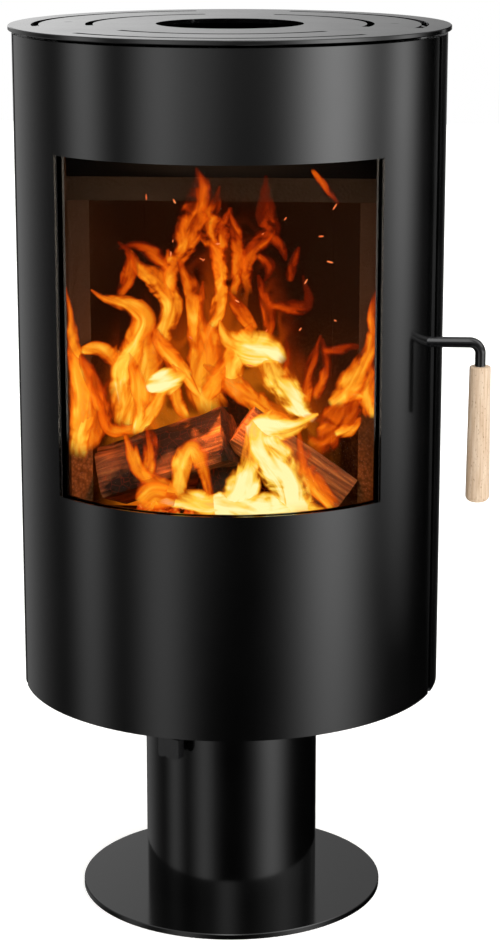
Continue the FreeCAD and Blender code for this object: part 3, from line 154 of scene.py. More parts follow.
def make_metal(name, dark, light, metallic, smooth, rough, grain_mm, relief_mm, shine=0.5):
    """A metal whose grain changes its colour, its gloss and its relief together."""
    finish, tree, shader, coords = new_finish(name)
    grain = add(tree, "ShaderNodeTexNoise", {"Vector": coords, "Scale": per(grain_mm), "Detail": 4.0})
    tone = add(tree, "ShaderNodeValToRGB", {"Fac": grain}, stops=((NOISE_LOW, dark), (NOISE_HIGH, light)))
    gloss = add(tree, "ShaderNodeMapRange", {
        "Value": grain, "From Min": NOISE_LOW, "From Max": NOISE_HIGH, "To Min": smooth, "To Max": rough,
    })
    marks = add(tree, "ShaderNodeBump", {"Height": grain, "Strength": 0.5, "Distance": relief_mm * MM})
    feed(tree, shader, Metallic=metallic, Specular_IOR_Level=shine)
    feed(tree, shader, Base_Color=tone, Roughness=gloss, Normal=marks)
    return finish


bare_steel = make_metal(
    "steel_turned_bright", dark="6f7173", light="a3a4a5", metallic=1.0,
    smooth=0.25, rough=0.42, grain_mm=2.0, relief_mm=0.03,
)
black_steel = make_metal(
    "steel_chemically_blacked", dark="050506", light="0b0b0c", metallic=0.0,
    smooth=0.16, rough=0.22, grain_mm=3.0, relief_mm=0.02,
)
sooty_steel = make_metal(
    "steel_sheet_sooted", dark="241a12", light="38291c", metallic=0.0,
    smooth=0.85, rough=0.98, grain_mm=6.0, relief_mm=0.1, shine=SOOT_SHINE,
)
cast_iron = make_metal(
    "iron_sand_cast", dark="171615", light="2b2927", metallic=0.35,
    smooth=0.62, rough=0.85, grain_mm=1.6, relief_mm=0.25,
)
brass = make_metal(
    "brass_turned_heat_browned", dark="6d4f22", light="b08a45", metallic=1.0,
    smooth=0.24, rough=0.4, grain_mm=4.0, relief_mm=0.02,
)
print("made", ", ".join(m.name for m in (bare_steel, black_steel, sooty_steel, cast_iron, brass)))

# %% [markdown]
# ## Fire board, rope and beech
# The lining is pressed vermiculite: golden flakes in a pale body, spotted with soot and drawn darker
# towards the top. The seals are braided glass rope, dark with use. The grip is oiled beech with fine grain
# along its length and the short dark flecks that mark this wood. Each pattern is drawn by the texture that
# is nearest to how the thing was made: flakes are cells, a braid is two sets of crossing waves, and grain
# is noise drawn out along the wood. The flecks are wider than real ones, which would be too fine to show.

# %% Sooty vermiculite board
BOARD_DARK_LOW, BOARD_DARK_HIGH = 0.46, 0.64


def make_fire_board():
    finish, tree, shader, coords = new_finish("vermiculite_board_pressed_sooty")
    flakes = add(tree, "ShaderNodeTexVoronoi", {"Vector": coords, "Scale": per(3.5)})
    soot = add(tree, "ShaderNodeTexNoise", {"Vector": coords, "Scale": per(90), "Detail": 5.0})
    board = add(tree, "ShaderNodeValToRGB", {"Fac": flakes}, stops=((0.1, "8a6038"), (0.8, "5c3d22")))
    black = add(tree, "ShaderNodeValToRGB", {"Fac": soot}, stops=((0.35, "6b5a4a"), (0.65, "ffffff")))
    spotted = add(tree, "ShaderNodeMix", {0: 1.0, 6: board, 7: black},
                  data_type="RGBA", blend_type="MULTIPLY")
    # The board's colour is drawn darker from just above the hearth upwards.
    height = add(tree, "ShaderNodeSeparateXYZ", {"Vector": coords}).outputs["Z"]
    darker_up = add(tree, "ShaderNodeMapRange", {
        "Value": height, "From Min": BOARD_DARK_LOW, "From Max": BOARD_DARK_HIGH,
    })
    tone = add(tree, "ShaderNodeMix", {0: darker_up, 6: spotted, 7: linear("34271d")}, data_type="RGBA")
    grit = add(tree, "ShaderNodeBump", {"Height": flakes, "Strength": 0.6, "Distance": 0.6 * MM})
    gloss = add(tree, "ShaderNodeMapRange", {"Value": soot, "To Min": 0.8, "To Max": 0.98})
    feed(tree, shader, Base_Color=tone, Normal=grit, Roughness=gloss, Specular_IOR_Level=SOOT_SHINE)
    return finish


fire_board = make_fire_board()
print("made", fire_board.name)


# %% Braided rope seal
def make_rope_seal():
    finish, tree, shader, coords = new_finish("glass_fibre_rope_braided")
    strands = [
        add(tree, "ShaderNodeTexWave", {
            "Vector": coords, "Scale": per(14), "Distortion": 1.5, "Detail": 1.0,
        }, wave_type="BANDS", bands_direction=direction).outputs["Fac"]
        for direction in ("DIAGONAL", "Z")
    ]
    braid = add(tree, "ShaderNodeMath", {0: strands[0], 1: strands[1]}, operation="MULTIPLY")
    tone = add(tree, "ShaderNodeValToRGB", {"Fac": braid}, stops=((0.0, "0b0a0a"), (1.0, "262422")))
    weave = add(tree, "ShaderNodeBump", {"Height": braid, "Strength": 0.8, "Distance": 0.8 * MM})
    gloss = add(tree, "ShaderNodeMapRange", {"Value": braid, "To Min": 0.95, "To Max": 0.8})
    feed(tree, shader, Base_Color=tone, Normal=weave, Roughness=gloss)
    return finish


rope_seal = make_rope_seal()
print("made", rope_seal.name)

# %% Oiled beech
GRAIN_DRAW = (1.0, 1.0, 0.05)  # grain runs on along the grip
FLECK_DRAW = (1.0, 1.0, 0.3)
FLECK_SHARE = 0.7


def make_beech():
    finish, tree, shader, coords = new_finish("beech_turned_oiled")
    drawn = add(tree, "ShaderNodeMapping", {"Vector": coords, "Scale": GRAIN_DRAW})
    grain = add(tree, "ShaderNodeTexNoise", {
        "Vector": drawn, "Scale": per(2.2), "Detail": 5.0, "Roughness": 0.6,
    })
    short = add(tree, "ShaderNodeMapping", {"Vector": coords, "Scale": FLECK_DRAW})
    fleck = add(tree, "ShaderNodeTexNoise", {"Vector": short, "Scale": per(1.1)})
    wood = add(tree, "ShaderNodeValToRGB", {"Fac": grain},
               stops=((NOISE_LOW, "c6a584"), (0.5, "dcc0a2"), (NOISE_HIGH, "ead4bb")))
    mark = add(tree, "ShaderNodeValToRGB", {"Fac": fleck}, stops=((0.28, "a9825f"), (0.37, "ffffff")))
    tone = add(tree, "ShaderNodeMix", {0: FLECK_SHARE, 6: wood, 7: mark},
               data_type="RGBA", blend_type="MULTIPLY")
    pores = add(tree, "ShaderNodeBump", {"Height": grain, "Strength": 0.25, "Distance": 0.2 * MM})
    gloss = add(tree, "ShaderNodeMapRange", {"Value": grain, "To Min": 0.42, "To Max": 0.6})
    feed(tree, shader, Base_Color=tone, Normal=pores, Roughness=gloss)
    return finish


beech = make_beech()
print("made", beech.name)

# %% [markdown]
# ## Ceramic glass
# The curved pane is glass ceramic, clear with a faint amber cast. A low refractive index stands for its
# anti-glare coat, so that the fire shows and not the studio. A thin haze of fly ash roughens it. A mix
# with a transparent shader would be quicker, but transmission also tints what is seen through the pane.


# %% Ceramic glass
def make_ceramic_glass():
    finish, tree, shader, coords = new_finish("ceramic_glass_drawn_clear")
    haze = add(tree, "ShaderNodeTexNoise", {"Vector": coords, "Scale": per(120), "Detail": 4.0})
    tone = add(tree, "ShaderNodeValToRGB", {"Fac": haze},
               stops=((NOISE_LOW, "fffaf4"), (NOISE_HIGH, "f8f1e6")))
    gloss = add(tree, "ShaderNodeMapRange", {"Value": haze, "To Min": 0.0, "To Max": 0.02})
    feed(tree, shader, Transmission_Weight=1.0, IOR=1.03)
    feed(tree, shader, Base_Color=tone, Roughness=gloss)
    return finish


ceramic_glass = make_ceramic_glass()
print("made", ceramic_glass.name)

# %% [markdown]
# ## Dressing the CAD pieces
# The CAD shapes are right, so they stay and only change their finish. That could be done piece by piece,
# but the record already sorts them into material slots, so only the few that are blacked or sooted on
# the real stove are named here.

# %% Give every CAD piece its finish
finish_of_slot = {
    "black_stove_paint": stove_paint,
    "bare_steel": bare_steel,
    "cast_iron": cast_iron,
    "fire_brick": fire_board,
    "ceramic_glass": ceramic_glass,
    "rope_seal": rope_seal,
    "beech": beech,
    "brass": brass,
}
BLACKED = ("handle_rod", "air_lever", "lever_grip", "top_screws", "casing_screws", "foot_screws")
SOOTED = ("firebox_shell", "firebox_crown", "airwash_strip", "hearth_plate")
finish_of_node = {name: black_steel for name in BLACKED} | {name: sooty_steel for name in SOOTED}
for name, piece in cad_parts.items():
    for holder in piece.material_slots:
        slot_name = holder.material.name.split(".")[0]
        holder.material = finish_of_node.get(name, finish_of_slot[slot_name])
# The pale grip would draw a brown stripe in the drum's paint, so mirrors look past it.
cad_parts["handle_grip"].visible_glossy = False
print("dressed", len(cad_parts), "CAD pieces")

# %% [markdown]
# ## The camera
# The portrait is taken from a little to the right and from just above the top plate. The camera comes
# before the fire, because the flames are laid out as they are seen through the window.

# %% Camera at the portrait's angle
camera_place = Vector((0.2037, -2.7087, 1.1664))
camera_data = bpy.data.cameras.new("portrait_camera")
camera_data.lens = 95.94
camera_data.sensor_width = 36
camera = bpy.data.objects.new("portrait_camera", camera_data)
camera.location = camera_place
camera.rotation_euler = (math.radians(75.9), 0, math.radians(3.85))
bpy.context.collection.objects.link(camera)
bpy.context.scene.camera = camera
bpy.context.scene.view_settings.view_transform = "Standard"
print("camera at", tuple(round(c, 3) for c in camera_place))

# %% [markdown]
# ## Firewood
# Four split logs lie on the hearth bricks and on each other. Each is lofted from rings along its axis:
# one side is round and ridged with bark, the other is flat where the axe split it. Noise bends and
# roughens the rings, so no two logs match. A displaced cylinder would give the bark as well, but rings
# also give the split face, and each point can carry its place in the grain for the finish.

# %% Finish of the charred wood
WOOD_GLOW = 0.6


def make_charred_wood():
    """Split oak in the fire: brown bark and wood, charred black and lightly glowing in the cracks."""
    finish, tree, shader, coords = new_finish("oak_split_charred")
    fibre = add(tree, "ShaderNodeAttribute", attribute_name="along_grain").outputs["Vector"]
    grain = add(tree, "ShaderNodeTexNoise", {"Vector": fibre, "Scale": 1.0, "Detail": 5.0})
    char = add(tree, "ShaderNodeTexNoise", {"Vector": coords, "Scale": per(55), "Detail": 4.0})
    level = add(tree, "ShaderNodeAttribute", attribute_name="char_level").outputs["Fac"]
    cracks = add(tree, "ShaderNodeTexVoronoi", {"Vector": coords, "Scale": per(10)},
                 feature="DISTANCE_TO_EDGE")
    wood = add(tree, "ShaderNodeValToRGB", {"Fac": grain},
               stops=((NOISE_LOW, "4a2c1a"), (0.5, "85532f"), (NOISE_HIGH, "b07b48")))
    black = add(tree, "ShaderNodeMath", {0: char, 1: level}, operation="ADD")
    burnt = add(tree, "ShaderNodeValToRGB", {"Fac": black}, stops=((0.45, "ffffff"), (0.62, "2e2a28")))
    tone = add(tree, "ShaderNodeMix", {0: 1.0, 6: wood, 7: burnt},
               data_type="RGBA", blend_type="MULTIPLY")
    glow = add(tree, "ShaderNodeValToRGB", {"Fac": cracks},
               stops=((0.0, "8a2406"), (0.02, "1c0400"), (0.04, "000000")))
    bark = add(tree, "ShaderNodeBump", {"Height": grain, "Strength": 0.9, "Distance": 1.5 * MM})
    gloss = add(tree, "ShaderNodeMapRange", {"Value": grain, "To Min": 0.75, "To Max": 0.95})
    feed(tree, shader, Base_Color=tone, Normal=bark, Roughness=gloss)
    feed(tree, shader, Emission_Color=glow, Emission_Strength=WOOD_GLOW)
    return finish


def finish_piece(name, mesh, finish):
    """Turns a bmesh into an object that rides on the stove."""
    data = bpy.data.meshes.new(name)
    mesh.to_mesh(data)
    mesh.free()
    data.materials.append(finish)
    piece = bpy.data.objects.new(name, data)
    bpy.context.collection.objects.link(piece)
    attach(piece, "stove")
    return piece


charred_wood = make_charred_wood()
print("made", charred_wood.name)

# %% Logs
RINGS = 40
SIDES = 48
BARK_SWELL = 0.10  # these three are shares of the log's radius
RIDGE_DEPTH = 0.05
SPLIT_DEPTH = 0.35
SPLINTER_DEPTH = 0.06  # a share of the split face's distance from the axis
SWELL_WAVES, SWELL_RUN = 3, 4  # scale of the noise round the log and along it
RIDGE_WAVES, RIDGE_RUN = 9, 5
SPLINTER_WAVES, SPLINTER_RUN = 20, 3
FIBRE_WAVES, FIBRE_RUN = 14, 3
STEEPEST = 0.05  # keeps the split plane's reach finite where it runs past the bark
LOG_LIFT = 0.040  # axis of a lying log above the bricks


def log_reach(angle, share, radius, split_turn, seed):
    """How far the log's surface lies from its axis, at an angle and a share of the length."""
    x, y = math.cos(angle), math.sin(angle)
    bark = 1 + BARK_SWELL * noise.noise((SWELL_WAVES * x, SWELL_WAVES * y, SWELL_RUN * share + seed))
    ridge = RIDGE_DEPTH * abs(noise.noise((RIDGE_WAVES * x, RIDGE_WAVES * y, RIDGE_RUN * share - seed)))
    splinter = 1 + SPLINTER_DEPTH * noise.noise((SPLINTER_WAVES * angle, SPLINTER_RUN * share, seed))
    flat = SPLIT_DEPTH * radius / max(math.cos(angle - math.radians(split_turn)), STEEPEST)
    return min(radius * (bark - ridge), flat * splinter)


def make_log(name, start, end, radius, split_turn, charred, seed):
    """A split log between two points; split_turn says which way its flat face looks, in degrees."""
    start = Vector(start)
    axis = Vector(end) - start
    turn = axis.to_track_quat("Z", "Y").to_matrix()
    mesh = bmesh.new()
    fibre = mesh.verts.layers.float_vector.new("along_grain")
    level = mesh.verts.layers.float.new("char_level")
    rings = []
    for ring in range(RINGS + 1):
        share = ring / RINGS
        around = []
        for side in range(SIDES):
            angle = math.tau * side / SIDES
            x, y = math.cos(angle), math.sin(angle)
            reach = log_reach(angle, share, radius, split_turn, seed)
            offset = turn @ Vector((reach * x, reach * y, 0))
            vertex = mesh.verts.new(start + axis * share + offset)
            vertex[fibre] = Vector((x * FIBRE_WAVES, y * FIBRE_WAVES, share * FIBRE_RUN + seed))
            vertex[level] = charred
            around.append(vertex)
        rings.append(around)
    for lower, upper in zip(rings, rings[1:]):
        for side in range(SIDES):
            following = (side + 1) % SIDES
            mesh.faces.new((lower[side], lower[following], upper[following], upper[side]))
    for around, place, order in ((rings[0], start, -1), (rings[-1], start + axis, 1)):
        middle = mesh.verts.new(place)
        middle[fibre] = Vector((0, 0, seed))
        middle[level] = charred
        for side in range(SIDES):
            pair = (around[side], around[(side + 1) % SIDES])
            mesh.faces.new((middle, *pair[::order]))
    bmesh.ops.recalc_face_normals(mesh, faces=mesh.faces)
    return finish_piece(name, mesh, charred_wood)


hearth_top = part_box("hearth_brick_left")[1][2]
rest = hearth_top + LOG_LIFT
logs = [
    make_log("log_front_left", (-0.126, -0.050, rest + 0.002), (0.010, -0.064, rest + 0.050),
             radius=0.047, split_turn=250, charred=0.06, seed=1.0),
    make_log("log_front_right", (0.020, -0.052, rest + 0.082), (0.130, -0.056, rest + 0.004),
             radius=0.038, split_turn=70, charred=-0.30, seed=2.0),
    make_log("log_back", (-0.095, 0.030, rest), (0.095, 0.045, rest),
             radius=0.042, split_turn=90, charred=0.05, seed=3.0),
    make_log("log_middle", (0.004, -0.112, rest - 0.006), (0.010, 0.060, rest + 0.080),
             radius=0.034, split_turn=120, charred=0.20, seed=4.0),
]
print("laid", len(logs), "logs on the hearth at", round(hearth_top, 3))

# %% [markdown]
# ## Embers and sparks
# Glowing coals and sparks are many small grains of one kind, which is what Geometry Nodes are for:
# points are scattered over a patch with a fixed seed, a small lump is placed on each point, turned
# and sized at random, and all of it is realised as one plain mesh.


# %% Finish of glowing grains
def make_ember(name, *stops):
    """A coal or spark that glows where its ash has cracked."""
    finish, tree, shader, coords = new_finish(name)
    ash = add(tree, "ShaderNodeTexNoise", {"Vector": coords, "Scale": per(9), "Detail": 3.0})
    glow = add(tree, "ShaderNodeValToRGB", {"Fac": ash}, stops=stops)
    crust = add(tree, "ShaderNodeBump", {"Height": ash, "Distance": 0.5 * MM})
    feed(tree, shader, Base_Color=linear("1a1512"), Roughness=0.95, Normal=crust)
    feed(tree, shader, Emission_Color=glow, Emission_Strength=1.0)
    return finish


coal_glow = make_ember("charcoal_glowing", (0.35, "120300"), (0.55, "d8480c"), (0.75, "ffb03a"))
spark_glow = make_ember("spark_flying", (0.2, "f0561a"), (0.8, "ff9a58"))
print("made", coal_glow.name, "and", spark_glow.name)

# %% Scatter tree
SCATTER_INPUTS = (
    ("Width", "Float"), ("Depth", "Float"), ("Thickness", "Float"), ("Density", "Float"), ("Seed", "Int"),
    ("Smallest", "Vector"), ("Largest", "Vector"), ("Place", "Vector"), ("Tilt", "Vector"),
    ("Finish", "Material"),
)
MOST_SPIN = (0.5, 0.5, math.tau)


def make_scatter():
    """Node tree: a patch of ground, points on it, and a lump on each point."""
    tree = bpy.data.node_groups.new("scatter_grains", "GeometryNodeTree")
    names = {}
    for label, kind in SCATTER_INPUTS:
        socket = tree.interface.new_socket(label, in_out="INPUT", socket_type=f"NodeSocket{kind}")
        names[label] = socket.identifier
    tree.interface.new_socket("Geometry", in_out="OUTPUT", socket_type="NodeSocketGeometry")
    given = add(tree, "NodeGroupInput").outputs
    patch = add(tree, "GeometryNodeMeshGrid", {
        "Size X": given["Width"], "Size Y": given["Depth"], "Vertices X": 2, "Vertices Y": 2,
    })
    points = add(tree, "GeometryNodeDistributePointsOnFaces", {
        "Mesh": patch, "Density": given["Density"], "Seed": given["Seed"],
    })
    lift = add(tree, "FunctionNodeRandomValue", {"Seed": given["Seed"]}, data_type="FLOAT")
    height = add(tree, "ShaderNodeMath", {0: lift, 1: given["Thickness"]}, operation="MULTIPLY")
    rise = add(tree, "ShaderNodeCombineXYZ", {"Z": height})
    spread = add(tree, "GeometryNodeSetPosition", {"Geometry": points, "Offset": rise})
    lump = add(tree, "GeometryNodeMeshIcoSphere", {"Radius": 1.0, "Subdivisions": 2})
    size = add(tree, "FunctionNodeRandomValue", {0: given["Smallest"], 1: given["Largest"]},
               data_type="FLOAT_VECTOR")
    spin = add(tree, "FunctionNodeRandomValue", {1: MOST_SPIN}, data_type="FLOAT_VECTOR")
    grains = add(tree, "GeometryNodeInstanceOnPoints", {
        "Points": spread, "Instance": lump, "Scale": size, "Rotation": spin,
    })
    moved = add(tree, "GeometryNodeTransform", {
        "Geometry": grains, "Translation": given["Place"], "Rotation": given["Tilt"],
    })
    real = add(tree, "GeometryNodeRealizeInstances", {"Geometry": moved})
    painted = add(tree, "GeometryNodeSetMaterial", {"Geometry": real, "Material": given["Finish"]})
    add(tree, "NodeGroupOutput", {"Geometry": painted})
    return tree, names


scatter_tree, scatter_inputs = make_scatter()
print("scatter tree with", len(scatter_inputs), "inputs")


# %% Ember bed and sparks
def scatter(name, **values):
    """Runs the scatter tree once and keeps its result as a plain mesh that rides on the stove."""
    holder = bpy.data.objects.new(name + "_points", bpy.data.meshes.new(name + "_points"))
    bpy.context.collection.objects.link(holder)
    modifier = holder.modifiers.new("scatter", "NODES")
    modifier.node_group = scatter_tree
    for label, value in values.items():
        modifier[scatter_inputs[label]] = value
    graph = bpy.context.evaluated_depsgraph_get()
    data = bpy.data.meshes.new_from_object(holder.evaluated_get(graph))
    holder.modifiers.remove(modifier)
    bpy.data.objects.remove(holder)
    piece = bpy.data.objects.new(name, data)
    bpy.context.collection.objects.link(piece)
    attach(piece, "stove")
    print(name, "has", len(data.polygons), "faces")


scatter(
    "ember_bed", Width=0.20, Depth=0.17, Thickness=0.010, Density=7000.0, Seed=4,
    Smallest=(0.004, 0.004, 0.003), Largest=(0.011, 0.009, 0.007),
    Place=(0.0, -0.02, hearth_top + 0.004), Tilt=(0.0, 0.0, 0.0), Finish=coal_glow,
)
scatter(
    "sparks", Width=0.25, Depth=0.18, Thickness=0.04, Density=420.0, Seed=11,
    Smallest=(0.0005, 0.0012, 0.0005), Largest=(0.0011, 0.0040, 0.0011),
    Place=(0.0, -0.10, 0.72), Tilt=(math.radians(90), 0.0, 0.0), Finish=spark_glow,
)

# %% [markdown]
# ## Flames
# A flame is glowing gas with soft edges, and it is brightest low down where it is hottest. A volume would
# be nearest to that, but it renders slowly and an export loses it, so each tongue here is a bent ribbon
# that bulges towards the glass. The ribbon carries its own UV map, across and along, so the finish can
# fade it out at the sides and the tip and cool it from pale yellow to red.

# %% Colours of a wood fire, from cool to hot
FLAME_COLOURS = (
    (0.0, "7a1c04"), (0.2, "c03a06"), (0.4, "f0690c"), (0.6, "ff9c20"), (0.8, "ffd04a"), (1.0, "fff6b4"),
)
EASED = {"interpolation_type": "SMOOTHSTEP"}  # for a range that starts and ends gently


def glow_only(tree, shader, strength):
    """Gas has no surface: no colour and no gloss of its own, only light."""
    feed(tree, shader, Base_Color=linear("000000"), Roughness=1.0, Specular_IOR_Level=0.0)
    feed(tree, shader, Emission_Strength=strength)


def flame_place(tree):
    """Places on a flame, across and along from 0 to 1, and its heat."""
    place = add(tree, "ShaderNodeUVMap", uv_map="flame_map")
    part = add(tree, "ShaderNodeSeparateXYZ", {"Vector": place}).outputs
    heat = add(tree, "ShaderNodeAttribute", attribute_name="flame_heat").outputs["Fac"]
    return part["X"], part["Y"], heat


print("flames run through", len(FLAME_COLOURS), "colours")

# %% Finish of the tongues
CURL_DRAW, STRAND_DRAW = (1.0, 0.6, 1.0), (1.0, 0.2, 1.0)  # both run on along the flow
TEAR = 2.2  # how far the curls push a tongue's middle aside, in half widths
RIM_LOSS = 1.7  # how surely it is gone at the ribbon's own edges
TIP_LOSS = 0.5
STREAK = 1.15  # bright strands along the flow, on top of an even body
EVEN_BODY = 0.42
CORE_HEAT, CORE_START = 0.7, -0.5
COOLING = -0.22  # heat lost from root to tip
ROOT_FADE = 0.15
TONGUE_GLOW = 1.15


def make_tongue_flame():
    """Wood gas burning in a tongue: bright in the core, torn at the sides, faded at root and tip."""
    finish, tree, shader, _ = new_finish("flame_wood_gas_tongue")
    across, up, heat = flame_place(tree)
    flow = add(tree, "ShaderNodeAttribute", attribute_name="flame_flow").outputs["Vector"]
    bent = add(tree, "ShaderNodeMapping", {"Vector": flow, "Scale": CURL_DRAW})
    curl = add(tree, "ShaderNodeTexNoise", {
        "Vector": bent, "Scale": per(21), "Detail": 3.0, "Distortion": 0.8,
    })
    tall = add(tree, "ShaderNodeMapping", {"Vector": flow, "Scale": STRAND_DRAW})
    strand = add(tree, "ShaderNodeTexNoise", {
        "Vector": tall, "Scale": per(10), "Detail": 2.0, "Distortion": 0.7,
    })
    side = add(tree, "ShaderNodeMath", {0: across, 1: 2.0, 2: -1.0}, operation="MULTIPLY_ADD")
    sway = add(tree, "ShaderNodeMath", {0: curl, 1: TEAR, 2: -TEAR / 2}, operation="MULTIPLY_ADD")
    torn = add(tree, "ShaderNodeMath", {0: side, 1: sway}, operation="ADD")
    away = add(tree, "ShaderNodeMath", {0: torn, 1: 2.0}, operation="POWER")
    rim = add(tree, "ShaderNodeMath", {0: side, 1: 6.0}, operation="POWER")
    lost = add(tree, "ShaderNodeMath", {0: rim, 1: RIM_LOSS, 2: away}, operation="MULTIPLY_ADD")
    tip = add(tree, "ShaderNodeMath", {0: up, 1: 4.0}, operation="POWER")
    gone = add(tree, "ShaderNodeMath", {0: tip, 1: TIP_LOSS, 2: lost}, operation="MULTIPLY_ADD")
    streak = add(tree, "ShaderNodeMath", {0: strand, 1: STREAK, 2: EVEN_BODY}, operation="MULTIPLY_ADD")
    body = add(tree, "ShaderNodeMath", {0: streak, 1: gone}, operation="SUBTRACT")
    veil = add(tree, "ShaderNodeMapRange", {"Value": body, "From Max": 0.85}, **EASED)
    root = add(tree, "ShaderNodeMapRange", {"Value": up, "From Max": ROOT_FADE}, **EASED)
    core = add(tree, "ShaderNodeMath", {0: body, 1: CORE_HEAT, 2: CORE_START}, operation="MULTIPLY_ADD")
    warm = add(tree, "ShaderNodeMath", {0: core, 1: heat}, operation="ADD")
    cooled = add(tree, "ShaderNodeMath", {0: up, 1: COOLING, 2: warm}, operation="MULTIPLY_ADD")
    dense = add(tree, "ShaderNodeMapRange", {
        "Value": cooled, "From Max": 0.8, "To Min": 0.5, "To Max": 0.97,
    })
    held = add(tree, "ShaderNodeMath", {0: veil, 1: root}, operation="MULTIPLY")
    cover = add(tree, "ShaderNodeMath", {0: held, 1: dense}, operation="MULTIPLY")
    colour = add(tree, "ShaderNodeValToRGB", {"Fac": cooled}, stops=FLAME_COLOURS)
    glow_only(tree, shader, TONGUE_GLOW)
    feed(tree, shader, Emission_Color=colour, Alpha=cover)
    return finish


tongue_flame = make_tongue_flame()
print("made", tongue_flame.name)

# %% Finish of the curtain
CURTAIN_DRAW = (1.0, 0.4, 0.42)  # folds run upwards
FOLD_HALF = 0.15
LOW_HEAT = 0.35
FOLD_HEAT = 0.15
CURTAIN_GLOW = 1.0


def make_curtain_flame():
    """Wood gas burning in a folded sheet: bright thin folds that fade with height, filled low down."""
    finish, tree, shader, coords = new_finish("flame_wood_gas_curtain")
    across, up, heat = flame_place(tree)
    tall = add(tree, "ShaderNodeMapping", {"Vector": coords, "Scale": CURTAIN_DRAW})
    curl = add(tree, "ShaderNodeTexNoise", {
        "Vector": tall, "Scale": per(46), "Detail": 2.0, "Roughness": 0.45, "Distortion": 1.1,
    })
    far = add(tree, "ShaderNodeMath", {0: curl, 1: 0.5}, operation="SUBTRACT")
    gap = add(tree, "ShaderNodeMath", {0: far}, operation="ABSOLUTE")
    fold = add(tree, "ShaderNodeMapRange", {
        "Value": gap, "From Max": FOLD_HALF, "To Min": 0.45, "To Max": 0.0,
    }, **EASED)
    fill = add(tree, "ShaderNodeMapRange", {
        "Value": curl, "From Min": 0.35, "From Max": 0.65, "To Min": 0.15, "To Max": 0.7,
    }, **EASED)
    low = add(tree, "ShaderNodeMapRange", {
        "Value": up, "From Min": 0.3, "To Min": 1.0, "To Max": 0.0,
    }, **EASED)
    filled = add(tree, "ShaderNodeMath", {0: fill, 1: low}, operation="MULTIPLY")
    sheet = add(tree, "ShaderNodeMath", {0: fold, 1: filled}, operation="MAXIMUM")
    rise = add(tree, "ShaderNodeMapRange", {
        "Value": up, "From Min": 0.55, "To Min": 1.0, "To Max": 0.0,
    }, **EASED)
    side = add(tree, "ShaderNodeMath", {0: across, 1: 2.0, 2: -1.0}, operation="MULTIPLY_ADD")
    away = add(tree, "ShaderNodeMath", {0: side}, operation="ABSOLUTE")
    edge = add(tree, "ShaderNodeMapRange", {
        "Value": away, "From Min": 0.5, "From Max": 0.85, "To Min": 1.0, "To Max": 0.0,
    }, **EASED)
    faded = add(tree, "ShaderNodeMath", {0: sheet, 1: edge}, operation="MULTIPLY")
    cover = add(tree, "ShaderNodeMath", {0: faded, 1: rise}, operation="MULTIPLY")
    warm = add(tree, "ShaderNodeMath", {0: low, 1: LOW_HEAT, 2: heat}, operation="MULTIPLY_ADD")
    bright = add(tree, "ShaderNodeMath", {0: fold, 1: FOLD_HEAT, 2: warm}, operation="MULTIPLY_ADD")
    colour = add(tree, "ShaderNodeValToRGB", {"Fac": bright}, stops=FLAME_COLOURS)
    glow_only(tree, shader, CURTAIN_GLOW)
    feed(tree, shader, Emission_Color=colour, Alpha=cover)
    return finish


curtain_flame = make_curtain_flame()
print("made", curtain_flame.name)

# %% [markdown]
# The tongues are drawn as they are seen: each point gives how far across the window it lies and how
# far up, in percent, with the tongue's half width in percent of the window. A line from the camera
# through that place carries the point to its depth in the firebox. At the sides the fire leans forward,
# to stand in front of the firebox's posts, and it stays clear of the door's liner.

# %% Where a place in the window lies in the firebox
WINDOW_LOW, WINDOW_HIGH = 0.495, 0.8545
WINDOW_HALF = 0.1688
PANE_DEPTH = -0.19
EDGE_DEPTH = -0.112
LEAN_START, LEAN_RATE = 0.6, 1.5
LEAN_DEPTH = -0.135


def seen_at(across, up, depth):
    """The point in the firebox seen through a place in the window; sides and top lean forward."""
    pane = Vector((across * WINDOW_HALF, PANE_DEPTH, WINDOW_LOW + up * (WINDOW_HIGH - WINDOW_LOW)))
    ray = pane - camera_place
    leaning = min(max((up - LEAN_START) / (1 - LEAN_START), 0) * LEAN_RATE, 1)
    deep = depth + (LEAN_DEPTH - depth) * leaning
    wanted = deep + (EDGE_DEPTH - deep) * across ** 2
    return camera_place + ray * ((wanted - camera_place.y) / ray.y)


def along(points, share):
    """A place on a smooth line through points, at a share of its length."""
    spot = share * (len(points) - 1)
    first = min(int(spot), len(points) - 2)
    t = spot - first
    p = [points[min(max(first + k, 0), len(points) - 1)] for k in (-1, 0, 1, 2)]
    return 0.5 * (2 * p[1] + (p[2] - p[0]) * t + (2 * p[0] - 5 * p[1] + 4 * p[2] - p[3]) * t ** 2
                  + (3 * p[1] - p[0] - 3 * p[2] + p[3]) * t ** 3)


print("the window's middle lies at", [round(c, 3) for c in seen_at(0, 0.5, 0)])

# %% Tongues of flame: depth, heat and the points from root to tip
FRONT, MIDDLE, BACK = -0.125, -0.05, 0.02
LEFT_SIDE = (
    (FRONT, 0.62, ((-96, 14, 4), (-90, 27, 6), (-92, 38, 5), (-97, 50, 3), (-99, 64, 1))),
    (FRONT, 0.50, ((-86, 20, 4), (-81, 32, 6), (-86, 42, 4), (-90, 49, 1))),
    (FRONT, 0.30, ((-70, 28, 3), (-78, 38, 5), (-86, 46, 1))),
    (MIDDLE, 0.50, ((-86, 45, 1), (-72, 46, 4), (-60, 42, 4), (-52, 36, 2))),
    (MIDDLE, 0.62, ((-58, 30, 5), (-59, 40, 6), (-49, 48, 8), (-43, 55, 7), (-52, 59, 5), (-66, 61, 3),
                    (-76, 63, 1))),
    (FRONT, 0.62, ((-50, 21, 2), (-46, 29, 4), (-48, 38, 4), (-54, 45, 1))),
    (FRONT, 0.35, ((-48, 23, 2), (-64, 23, 4), (-70, 30, 3), (-66, 38, 1))),
)
